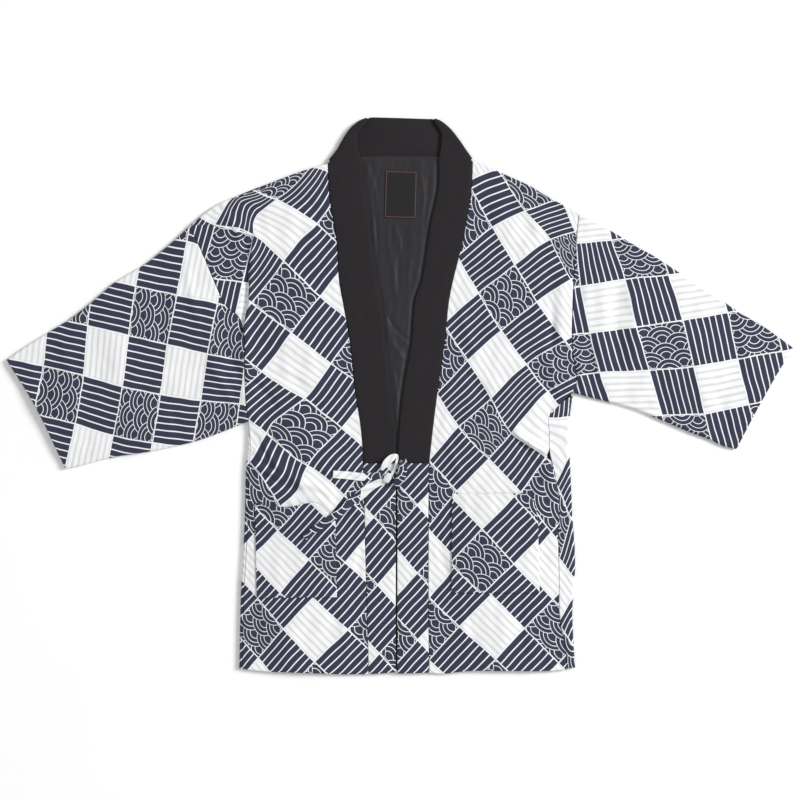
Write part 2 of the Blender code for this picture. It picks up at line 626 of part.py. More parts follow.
def make_label():
    """A plain woven label sewn inside the neck."""
    half_w, half_h = LABEL_SIZE[0] / 2, LABEL_SIZE[1] / 2
    u = np.linspace(-half_w, half_w, 4)[None, :]
    v = np.linspace(-half_h, half_h, 5)[:, None]
    x = LABEL_CENTRE[0] + u * math.cos(LABEL_TURN) - v * math.sin(LABEL_TURN)
    y = LABEL_CENTRE[1] + u * math.sin(LABEL_TURN) + v * math.cos(LABEL_TURN)
    flat = np.stack([x, y], axis=2)
    base = LINING_UNDER + LINING_WALL + GAP
    middle = with_height(flat, base + LABEL_WALL / 2)
    sheet("label", middle, upright(flat), LABEL_WALL, "label", rim=0.3)


def lying_height(x, y):
    """Height of whatever lies on top under a tie: band, front or pocket."""
    band_top = BAND_UNDER["left"] + BAND_WALL
    height = np.where(x > BAND_SIDE, band_top, front_top(x, y))
    over_pocket = (x > POCKET_AREA[0]) & (x < POCKET_AREA[1]) & (y < POCKET_AREA[2])
    return np.where(over_pocket, height + GAP + POCKET_WALL + POCKET_BULGE, height)


def ribbon(name, middle, widths, colour, cells=3):
    """A flat ribbon along a line in space, level across, with its own varying width."""
    run = np.gradient(middle, axis=0)
    aside = np.stack([-run[:, 1], run[:, 0], np.zeros(len(run))], axis=1)
    aside /= np.maximum(np.linalg.norm(aside, axis=1, keepdims=True), 1e-9)
    for k in range(1, len(aside)):
        if np.dot(aside[k], aside[k - 1]) < 0:
            aside[k] = -aside[k]
    share = np.linspace(-0.5, 0.5, cells + 1)
    points = middle[:, None] + aside[:, None] * (share[None, :, None] * widths[:, None, None])
    normal = np.cross(run, aside)
    normal /= np.linalg.norm(normal, axis=1, keepdims=True)
    normals = np.broadcast_to(normal[:, None], points.shape)
    sheet(name, points, normals, TIE_WALL, colour, rim=THIN_RIM)


def make_tail(name, table, colour, cells):
    """A tie's free end, lying on the band, the front and the pocket."""
    line = smooth_line(table, cells)
    near = (-9, 0, 9)
    around = [lying_height(line[:, 0] + dx, line[:, 1] + dy) for dx in near for dy in near]
    height = np.max(around, axis=0)
    height = np.maximum.reduce([height, np.roll(height, 1), np.roll(height, -1)])
    height[0], height[-1] = height[1], height[-2]
    z = height + 2 * GAP + TIE_WALL / 2
    ribbon(name, np.column_stack([line[:, :2], z]), line[:, 2], colour)


def make_loop(name, table, colour):
    """A loop of the bow: out along the band and back over itself."""
    line = smooth_line(table, 12)
    base = BAND_UNDER["right"] + BAND_WALL + TIE_WALL / 2
    middle = np.column_stack([line[:, :2], base + line[:, 2]])
    ribbon(name, middle, line[:, 3], colour, cells=2)


def make_knot():
    """The bow's knot, a soft rounded lump."""
    stations, around = 7, 12
    length, breadth, height = KNOT_SIZE[1], KNOT_SIZE[0], KNOT_SIZE[2]
    base = BAND_UNDER["right"] + BAND_WALL + GAP
    rings = []
    for k in range(1, stations):
        phi = math.pi * k / stations
        size = math.sin(phi) ** 0.6
        for m in range(around):
            a = 2 * math.pi * m / around
            u = breadth / 2 * size * math.cos(a)
            v = -length / 2 * math.cos(phi)
            x = KNOT_CENTRE[0] + u * math.cos(KNOT_TURN) - v * math.sin(KNOT_TURN)
            y = KNOT_CENTRE[1] + u * math.sin(KNOT_TURN) + v * math.cos(KNOT_TURN)
            rings.append((x, y, base + height / 2 * (1 + size * math.sin(a))))
    points = np.array(rings)
    tips = []
    for sign in (-1, 1):
        v = sign * length / 2
        tips.append((KNOT_CENTRE[0] - v * math.sin(KNOT_TURN),
                     KNOT_CENTRE[1] + v * math.cos(KNOT_TURN), base + height / 2))
    points = np.vstack([points, tips])
    count = (stations - 1) * around
    faces = []
    for m in range(around):
        n = (m + 1) % around
        for k in range(stations - 2):
            a, b = k * around + m, k * around + n
            faces.append((a, a + around, b + around, b))
        faces.append((count, m, n))
        last = (stations - 2) * around
        faces.append((count + 1, last + n, last + m))
    make_object("tie_knot", points, faces, "tie_white")


def build():
    """Clear the scene and make every piece of the jacket."""
    for old in list(bpy.data.objects):
        bpy.data.objects.remove(old)
    make_back()
    make_lining()
    for side, half in HALVES.items():
        make_front(side, half)
        make_band(side, half)
        make_sleeve(side, half)
    make_collar()
    make_label()
    make_knot()
    make_loop("tie_loop_white", LOOP_WHITE, "tie_white")
    make_loop("tie_loop_navy", LOOP_NAVY, "print")
    make_tail("tie_tail_short", TAIL_SHORT, "tie_white", 8)
    make_tail("tie_tail_long", TAIL_LONG, "print", 14)


build()
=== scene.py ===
"""The looks of a hanten, the short padded house jacket, laid flat on its back and tied.

x runs across the jacket, y from the hem towards the collar, z up from the surface it lies on.
Left and right are as seen from above. Shapes are in millimetres. The tables of the print give
places in steps of the view from above, which on_cloth turns into millimetres.
"""

import math

import bpy
import numpy as np
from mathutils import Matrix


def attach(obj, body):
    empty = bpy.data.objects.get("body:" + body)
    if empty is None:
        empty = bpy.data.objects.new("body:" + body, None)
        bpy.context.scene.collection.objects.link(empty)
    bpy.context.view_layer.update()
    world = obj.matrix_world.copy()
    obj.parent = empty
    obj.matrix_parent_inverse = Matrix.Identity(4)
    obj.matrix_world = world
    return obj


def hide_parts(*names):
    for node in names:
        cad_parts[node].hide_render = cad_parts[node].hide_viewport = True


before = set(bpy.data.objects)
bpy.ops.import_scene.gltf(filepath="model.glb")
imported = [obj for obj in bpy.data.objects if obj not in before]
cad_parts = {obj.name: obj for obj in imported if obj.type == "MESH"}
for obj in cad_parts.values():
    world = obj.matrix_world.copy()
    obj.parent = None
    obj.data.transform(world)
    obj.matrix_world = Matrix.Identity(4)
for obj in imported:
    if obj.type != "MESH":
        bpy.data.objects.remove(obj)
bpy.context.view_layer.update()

MM = 0.001
TINY = 1e-9
UP = np.array([0.0, 0.0, 1.0])

# Thickness of each piece, with its padding
BACK_WALL = 3.2
FRONT_WALL = 3.2
SLEEVE_WALL = 3.2
COLLAR_WALL = 3.6
BAND_WALL = 3.4
LINING_WALL = 1.2
POCKET_WALL = 2.0
LABEL_WALL = 0.9
TIE_WALL = 1.6

# Width of the rounded edge of a padded piece, and of the others
RIM = 1.4
BACK_RIM = 1.0
POCKET_RIM = 1.0
COLLAR_RIM = 1.2
LINING_RIM = 0.5
LABEL_RIM = 0.4
TIE_RIM = 0.6

GAP = 0.3            # between layers that touch
SEAM_BACK = 0.25     # how far each piece stands back from a seam line
MOST_PULL = 0.4      # the most that an edge is drawn in, as a share of the step beside it
EDGE_LIFT = 0.7      # air between the layers at a folded edge
LEAST_LIFT = 0.05    # the least air between them anywhere
PUFF = 3.2           # extra height of the padding in the middle of a panel
PUFF_REACH = 62.0    # how far from an edge the padding takes to fill out
CALM_REACH = 14.0    # how far from an edge the folds take to reach their full height
CREASE_GAIN = 2.1    # the creases' heights are multiplied by this
FOLD_PAST = 0.15     # how far a fold runs on past its ends, and over what part of its length it
FOLD_FADE = 0.35     # fades there, in shares of its length

# Soft unevenness is a sum of waves: the direction, stretch and phase of each
WAVES = [(0.3, 1.0, 0.0), (1.35, 1.27, 1.9), (2.2, 0.83, 4.1), (2.9, 1.6, 0.7)]
SWAY = 1.3           # how far the crests sway from side to side, and how often
SWAY_RATE = 2.1
# Height of broad and of fine unevenness, each with its length from crest to crest
PADDING_RIPPLES = ((1.0, 62.0), (0.45, 27.0))
COLLAR_RIPPLES = ((0.35, 41.0), (0.2, 23.0))
PUCKER = 0.35        # height and length of the small puckers along a seam
PUCKER_SIZE = 19.0
PUCKER_AT = 9.0      # how far they lie from it, and over what width
PUCKER_WIDTH = 6.0

# Heights that follow from the walls, and the radius of a folded edge
FRONT_UNDER = BACK_WALL + GAP
EDGE_RADIUS = (FRONT_UNDER + EDGE_LIFT + FRONT_WALL) / 2
BACK_BEND = EDGE_RADIUS - BACK_WALL / 2
LINING_UNDER = BACK_WALL + GAP
COLLAR_HIGH = LINING_UNDER + LINING_WALL + GAP + COLLAR_WALL / 2
COLLAR_LOW = COLLAR_WALL / 2
# Height of each band's lower face
BAND_UNDER = {"left": FRONT_UNDER + 0.5, "right": FRONT_UNDER + 1.1}

# Grid of the panels: rows from hem to underarm, underarm to shoulder, and along band and collar
SIDE_ROWS = 14
ARM_ROWS = 12
BAND_ROWS = 11
COLLAR_ROWS = SIDE_ROWS + ARM_ROWS - BAND_ROWS
BAND_TOP = -110.6
FRONT_COLUMNS = 11
SHOULDER_COLUMNS = 3
BAND_COLUMNS = 3
SLEEVE_STATIONS = 12
POCKET_ROWS = (4, 9)
FINE = 10            # steps of the finer grid to each step of a panel's grid
FINE_SLEEVE = 6      # the same on the sleeves, which have an inside too
FINE_SMALL = 4       # the same on the back and the small pieces
CURVE_STEPS = 16     # steps along a curve between two of its given points
RIM_TURNS = [math.radians(turn) for turn in (60, 25, -25, -60)]
ARC_TURNS = [math.radians(turn) for turn in (72, 48, 24, 0, -24, -48, -72)]

HEM_CLEAR = 8        # no point of the hem is used nearer than this to a front's side edge
HEM_BOW = -16.0      # four times how far the back's hem bows down in its middle
WRAP_CELLS = 18      # cells of the back's turned side, and the least width that they cover
WRAP_LEAST = 6.0
WRAP_EASE = 12.0     # how far past the turn the side takes to follow the padding
PAST_SEAM = 0.3      # how far the sleeve's print goes on past its last ring, in cells
POCKET_BULGE = 2.6   # how far the pocket's mouth stands open, and how full its curve is
POCKET_FULLNESS = 0.7
BAND_CROWN = 0.9     # how far the bands swell, and the height and length of their unevenness
BAND_RIPPLE = 0.3
BAND_RIPPLE_SIZE = 33.0

COLLAR_ACROSS = 20   # cells across the collar, and the longest step along it
COLLAR_STEP = 9.0
CORNER_STEPS = 14    # steps round the fold at the neck's corner
COLLAR_CROWN = 0.5   # how far the collar swells on the fronts
NECK_SWELL = 3.4     # how far its back part stands up between the corners, and its half width
NECK_SWELL_HALF = 62.0
NECK_FULLNESS = 0.8
NECK_FOCUS = 8       # how soon that swelling fades where the collar turns over

# Outlines of each half, (x, y); every list runs upwards or outwards from the body
HALVES = {
    "left": {
        "side": [(-266, -450), (-265, -396), (-263, -317), (-261, -285), (-258, -229),
                 (-256, -167), (-254.8, -112), (-251.8, -88), (-250.8, -42)],
        "flap": [(-450, 5), (-100, 5), (-42, 1.5)],
        "armhole": [(-250.5, -42), (-255, -5), (-257, 55), (-258, 105), (-271, 137),
                    (-291, 152), (-302, 178), (-334, 252), (-348, 280.5)],
        "shoulder": [(-348, 280.5), (-322, 302), (-298, 318), (-251, 336.5), (-215, 351.5),
                     (-167, 370), (-136, 379.5), (-119.3, 384.5)],
        "sleeve_top": [(-348, 280.5), (-377, 254), (-431, 211), (-453, 200), (-476, 184.5),
                       (-504, 160), (-550, 124), (-581, 105.5), (-616, 84), (-650.5, 60)],
        "sleeve_bottom": [(-250.5, -42), (-334, -73.5), (-410, -91), (-476, -101.5),
                          (-541, -118.5), (-553, -120.5)],
        "cuff": [(-553, -120.5), (-603, -16.5), (-650.5, 60)],
        "seam": [(-52.5, -459.5), (-57, -285), (-61.5, -110.6), (-63.7, -62.7), (-74.7, 11.6),
                 (-82.2, 84.2), (-95, 158.4), (-101.1, 193), (-104.4, 252.5), (-116.6, 330),
                 (-119.3, 384.5)],
        "inner": [(-7.3, -110.6), (-8.1, -62.7), (-18.2, 11.6), (-26.9, 84.2), (-33.5, 158.4),
                  (-41.7, 193), (-49, 252.5), (-53.3, 297), (-61.9, 341.6), (-63.7, 387)],
        "hem": [(-266, -450), (-228, -454.5), (-165, -457), (-100, -459.5), (-52.5, -459.5)],
        "centre": [(-7.3, -456.5), (-7.3, -110.6)],
        "neck": [(-119.3, 384.5), (-92, 390), (-64, 394)],
        "fold": [(-118.6, 389.8), (-105, 407), (-96.5, 422.4), (-82.5, 442.7), (-66.5, 455.4),
                 (-56, 459.8)],
        "fan_seam": [(-118.2, 385.4), (-117, 386.4)],
        "fan_free": [(-71, 410), (-70, 434)],
        "under_free": [(-50, 460.4), (-44, 460.8)],
        "pocket": {"first": 1, "last": 8, "low": [(-237, -333), (-104.5, -332)],
                   "mouth": [(-240, -176.5), (-217, -181), (-195, -182.5), (-165.5, -180),
                             (-144, -174), (-118, -194), (-107, -206)]},
    },
    "right": {
        "side": [(289, -449), (286.6, -412), (284.5, -350), (288.6, -297), (288, -244),
                 (284.5, -201), (282, -138), (279.3, -90), (281, -25), (284.5, 6)],
        "flap": [(-450, 14), (-419, 14), (-402, 16), (-376, 21.5), (-336, 23), (-298, 27), (-229, 27.5),
                 (-205, 22), (-180, 20.5), (-145, 24), (-106, 30), (-86, 34), (-24, 34), (6, 1.5)],
        "armhole": [(283, 6), (289.5, 20), (290.5, 36), (285.5, 62), (283.3, 84), (285, 176), (291, 268),
                    (295, 302)],
        "shoulder": [(295, 302), (282, 309), (263.5, 318.5), (242, 330), (212, 348),
                     (176, 364.5), (153, 375), (135, 385), (119.1, 387.8)],
        "sleeve_top": [(295, 302), (342, 276.5), (372, 258), (424, 228), (468, 199), (498, 180),
                       (531, 158), (557, 140), (597, 117), (650.5, 78.5)],
        "sleeve_bottom": [(283, 6), (316, -3), (361, -14), (391, -23), (430, -39.5), (483, -62),
                          (508, -71), (542, -86), (555, -88)],
        "cuff": [(555, -88), (592.5, -16), (631.5, 51.5), (650.5, 78.5)],
        "seam": [(47.5, -457), (46, -285), (47.4, -110.6), (52.3, -62.7), (61.5, 11.6),
                 (72.1, 84.2), (80, 158.4), (87, 193), (101.8, 252.5), (117, 341.6),
                 (119.1, 387.8)],
        "inner": [(-5.2, -110.6), (-2.6, -62.7), (5, 11.6), (17.7, 84.2), (24.3, 158.4),
                  (35.8, 193), (44.9, 252.5), (52.3, 297), (62.6, 341.6), (63, 390)],
        "hem": [(289, -449), (275, -452), (247, -454), (165, -454), (115, -454),
                (66, -459), (47.5, -457)],
        "centre": [(-5.4, -458.5), (-5.4, -110.6)],
        "neck": [(119.1, 387.8), (92, 391.8), (63, 394)],
        "fold": [(119.3, 392.2), (109, 406.5), (98.5, 422), (82.5, 442), (66, 455.2), (57, 458.6)],
        "fan_seam": [(118, 388.6), (116.8, 389.5)],
        "fan_free": [(66.5, 411), (68.5, 434)],
        "under_free": [(53, 458.3), (48, 458)],
        "pocket": {"first": 2, "last": 9, "low": [(229.7, -324.7), (84.5, -325)],
                   "mouth": [(227, -205), (221, -176), (211, -163), (170, -161),
                             (125, -161.5), (85.3, -161.5)]},
    },
}
NECK_MIDDLE = (0, 394.6)
COLLAR_TOP_MIDDLE = (1, 459.6)

# Largest folds: the line each runs along, how far it bows aside, its half width and its height,
# negative for a trough
FOLDS = [
    # x0, y0, x1, y1, bow, width, height
    (-241, 270, -258, 100, 6, 11, -3.4),
    (-251, 118, -249, -52, 0, 15, 3.6),
    (-300, 282, -232, 268, 4, 13, 2.4),
    (-240, -92, -160, -150, -6, 17, 3.2),
    (-176, -140, -112, -184, 5, 14, 2.8),
    (-225, 120, -140, 60, 10, 20, 2.2),
    (184, -58, 246, -98, -4, 12, 3.6),
    (192, -78, 250, -116, -4, 10, -2.6),
    (284, 10, 232, 82, 6, 10, 2.6),
    (284, 30, 246, 120, 4, 9, -2.0),
    (262, 205, 259, 30, 4, 14, 2.4),
    (356, 196, 362, 52, -5, 13, -2.8),
    (330, 200, 334, 60, 4, 12, 1.8),
    (-330, 170, -300, 10, 8, 16, 2.4),
    (-470, 120, -440, -60, -8, 18, 2.0),
    (470, 120, 505, -30, 6, 18, 2.0),
    (-180, -452, -176, -352, 4, 22, 2.2),
    (160, -450, 166, -345, -4, 22, 2.0),
]

# Creases between the largest folds, in the same columns
CREASES = [
    (-262, 268, -250, 190, 3, 5, -1.6),
    (-286, 300, -262, 240, 4, 6, 1.2),
    (-255, 30, -205, -20, 5, 6, -1.3),
    (-248, -60, -214, -120, 4, 6, -1.4),
    (-236, -70, -196, -132, 3, 5, 1.0),
    (-247, -100, -163, -154, 3, 5, -1.8),
    (-205, -128, -150, -162, -3, 6, -1.3),
    (-160, -150, -118, -172, 2, 5, -1.1),
    (-128, -120, -86, -168, 3, 6, 0.9),
    (-214, 40, -150, 8, 5, 7, -0.9),
    (-200, 200, -130, 150, 6, 8, 0.9),
    (-150, 320, -120, 240, 4, 7, -0.9),
    (-300, 90, -262, 20, 4, 7, -1.4),
    (-318, 60, -272, -30, 5, 6, 1.2),
    (-350, 210, -330, 120, -4, 7, 1.0),
    (-400, 190, -392, 60, 4, 8, -0.9),
    (-560, 90, -540, -20, 5, 9, 0.9),
    (-596, 60, -580, -20, -3, 7, -0.8),
    (-380, -20, -360, -80, 3, 8, -0.9),
    (-250, -330, -236, -430, 3, 7, -0.9),
    (-100, -352, -90, -440, 3, 8, 0.8),
    (-62, -250, -82, -330, 2, 5, -0.8),
    (-66, -380, -84, -450, 3, 6, -0.7),
    (246, -100, 272, -190, 4, 6, -1.5),
    (236, -66, 268, -84, 2, 5, -1.5),
    (214, -86, 258, -130, -3, 5, 1.2),
    (240, -110, 262, -170, -4, 6, 1.0),
    (186, -55, 244, -92, -4, 5, 1.5),
    (182, -64, 244, -102, -4, 5, -2.0),
    (-228, -133, -166, -164, 3, 5, -1.9),
    (-226, -121, -160, -151, 3, 5, 1.2),
    (274, 20, 252, 62, 3, 4, -1.2),
    (266, 4, 238, 40, 3, 4, 1.0),
    (250, 150, 246, 70, 3, 6, -0.9),
    (296, 70, 306, -2, -2, 5, 1.1),
    (306, 110, 316, 10, 3, 6, -1.1),
    (284, 210, 300, 150, 3, 6, -1.0),
    (378, 180, 388, 60, 4, 9, 1.0),
    (420, 40, 440, -30, 3, 7, -0.8),
    (560, 110, 590, 30, -4, 8, 0.9),
    (520, 10, 540, -60, 3, 8, -0.8),
    (100, 150, 130, 60, -4, 8, 0.8),
    (108, 40, 150, -30, 4, 8, -0.8),
    (70, -70, 100, -140, 3, 7, 0.8),
    (62, -230, 78, -300, -2, 5, -0.7),
    (250, -330, 262, -440, 3, 7, -1.0),
    (100, -345, 108, -440, 3, 8, 0.8),
    (200, -340, 208, -440, -3, 9, -0.8),
    (130, 330, 150, 270, 4, 7, -0.8),
    (190, 330, 230, 260, 5, 9, 0.9),
]

# Creases of the lining inside the neck, in the same columns
LINING_CREASES = [
    (-42, 300, -37, 228, 1, 2.6, -1.6),
    (-50, 356, -45, 240, 1, 3.0, 1.5),
    (-55, 380, -38, 312, 3, 3.0, 1.2),
    (-30, 380, -41, 330, -2, 3.0, -0.9),
    (48, 372, 40, 250, -2, 3.0, -1.6),
    (28, 382, 40, 322, 2, 3.0, 1.3),
    (48, 340, 34, 300, -2, 3.0, 0.9),
    (-12, 285, 2, 222, 3, 4.0, 1.2),
    (8, 276, -4, 176, -3, 4.0, -1.2),
    (-20, 250, -8, 160, 3, 4.0, 1.1),
    (20, 262, 10, 190, 3, 4.0, 1.0),
    (-22, 137, 18, 90, -6, 3.0, -2.4),
    (-20, 112, 6, 60, -4, 5.0, 1.8),
    (10, 82, 2, 20, 2, 3.5, -2.2),
    (-20, 84, -22, 18, -1, 3.0, -1.8),
    (-10, 40, -4, -20, 1, 2.5, 1.6),
]
LINING_ROWS = 14
LINING_COLUMNS = 4
LINING_FINE = 16     # steps of the finer grid to each step of the lining's grid
LINING_TUCK = 10     # how far it goes under the collar at the fronts
LINING_HALF = 75     # half its width at the neck, and how far its corners lie lower
LINING_DROP = 1
LINING_FREE = 1.5    # how far from the collar's edge it starts to rise, and how far it takes
LINING_EASE = 7.5
LINING_SWELL = 1.9   # how far it stands up between the collar's edges
LINING_GAIN = 0.6    # its creases' heights are multiplied by this
LINING_PAST = 1.6    # how far its upper end goes over the neck's seam
LINING_STEP = 0.2    # how far it stands up there, and how far below the seam it levels out
LINING_LEVEL = 12.8
# Soft unevenness of the lining: height, stretch along x and y, length from crest to crest
LINING_RIPPLES = [(0.35, 1.6, 0.4, 30.0), (0.30, 1.2, 0.8, 24.0)]

LABEL_CENTRE = (0.7, 332.5)
LABEL_SIZE = (52, 77.5)
LABEL_TURN = math.radians(-1.5)
LABEL_CELLS = (26, 38)
LABEL_BED = 1.5      # height of the even place under the label, and how far it takes to fade
LABEL_EASE = 9.0
LABEL_RIPPLE = 0.16  # height and length of the label's unevenness
LABEL_RIPPLE_SIZE = 44.0

# Free ends of the ties: x, y and width from the knot outwards
TAILS = {
    "tie_tail_short": [(-30, -131, 9), (-44, -132, 12), (-62, -133.5, 13), (-86, -131, 13),
                       (-111, -129, 12.5)],
    "tie_tail_long": [(-25, -141, 9), (-34, -142.5, 11), (-43, -146.5, 12.5), (-54, -153.5, 14.5),
                      (-64, -162, 16), (-82, -175, 14), (-99, -191, 13), (-122, -207, 12),
                      (-142, -221, 11), (-158, -233, 10)],
}
TAIL_STEPS = {"tie_tail_short": 60, "tie_tail_long": 100}
TAIL_CELLS = 12
TAIL_REACH = 4       # steps over which a tail's height is evened out
TAIL_BESIDE = 8      # how far beside its middle line a tail still feels what it lies on
TAIL_CRUMPLE = 0.30
# Loops: x, y, height over the band and width, out along the lower run and back along the upper one
LOOPS = {
    "tie_loop_white": [(-15, -131, 2.6, 5), (-9.5, -121, 2.4, 4.5), (-6.5, -110, 2.6, 4.5),
                       (-5, -101, 4.0, 4), (-5.6, -97.5, 6.4, 3.5), (-12.5, -100.5, 8.0, 10.5),
                       (-20.5, -107.5, 8.6, 12), (-27, -115.5, 7.8, 9), (-31, -122, 6.2, 4.5)],
    "tie_loop_navy": [(-12, -136, 1.6, 8), (-3, -124, 1.6, 10), (3, -112, 2.0, 11),
                      (4.5, -107, 5.0, 12), (5, -114, 8.2, 13), (3, -127, 8.8, 15),
                      (-2, -140, 7.8, 15), (-9, -147, 5.6, 10)],
}
LOOP_STEPS = 60
LOOP_CELLS = 10
LOOP_CRUMPLE = 0.25
# Waves of a tie's crumples: share of the height, length along and across, phase
TIE_WAVES = [(1.0, 5.1, 2.3, 0.0), (0.7, 8.7, -3.1, 1.2)]
TIE_PRINT = {
    # piece: crossing i and j, its distance from the start, slant, gather, jump
    "tie_loop_white": (1.3, 2.5, 0.0, 45, 0.5, 0.0),
    "tie_loop_navy": (0.2, 1.2, 0.0, 45, 1.0, 0.0),
    "tie_tail_short": (1, 2, 25.0, 45, 1.0, 0.0),
    "tie_tail_long": (2, 0.66, 45.0, -35, 0.7, 1.0),
}
# What lies on top under the ties: the band right of its edge, the pocket between two lines and
# below its mouth, and the front elsewhere
BAND_EDGE = -60
BAND_SWELL = 1.1
POCKET_EDGES = (-248, -98)
POCKET_MOUTH = -168

KNOT_CENTRE = (-21, -135)
KNOT_SIZE = (12, 17, 8)
KNOT_TURN = math.radians(-22)
KNOT_ROWS = 28
KNOT_AROUND = 48
KNOT_END = 0.06      # how near to its poles the knot's rings come, in radians
KNOT_FULLNESS = 0.55
# Creases of the knot: share of its size, how many round it and how many along it
KNOT_CREASES = [(0.05, 3, 4), (0.04, 7, -3)]
KNOT_PRINT = (1.5, 0.5)
KNOT_GATHER = 3

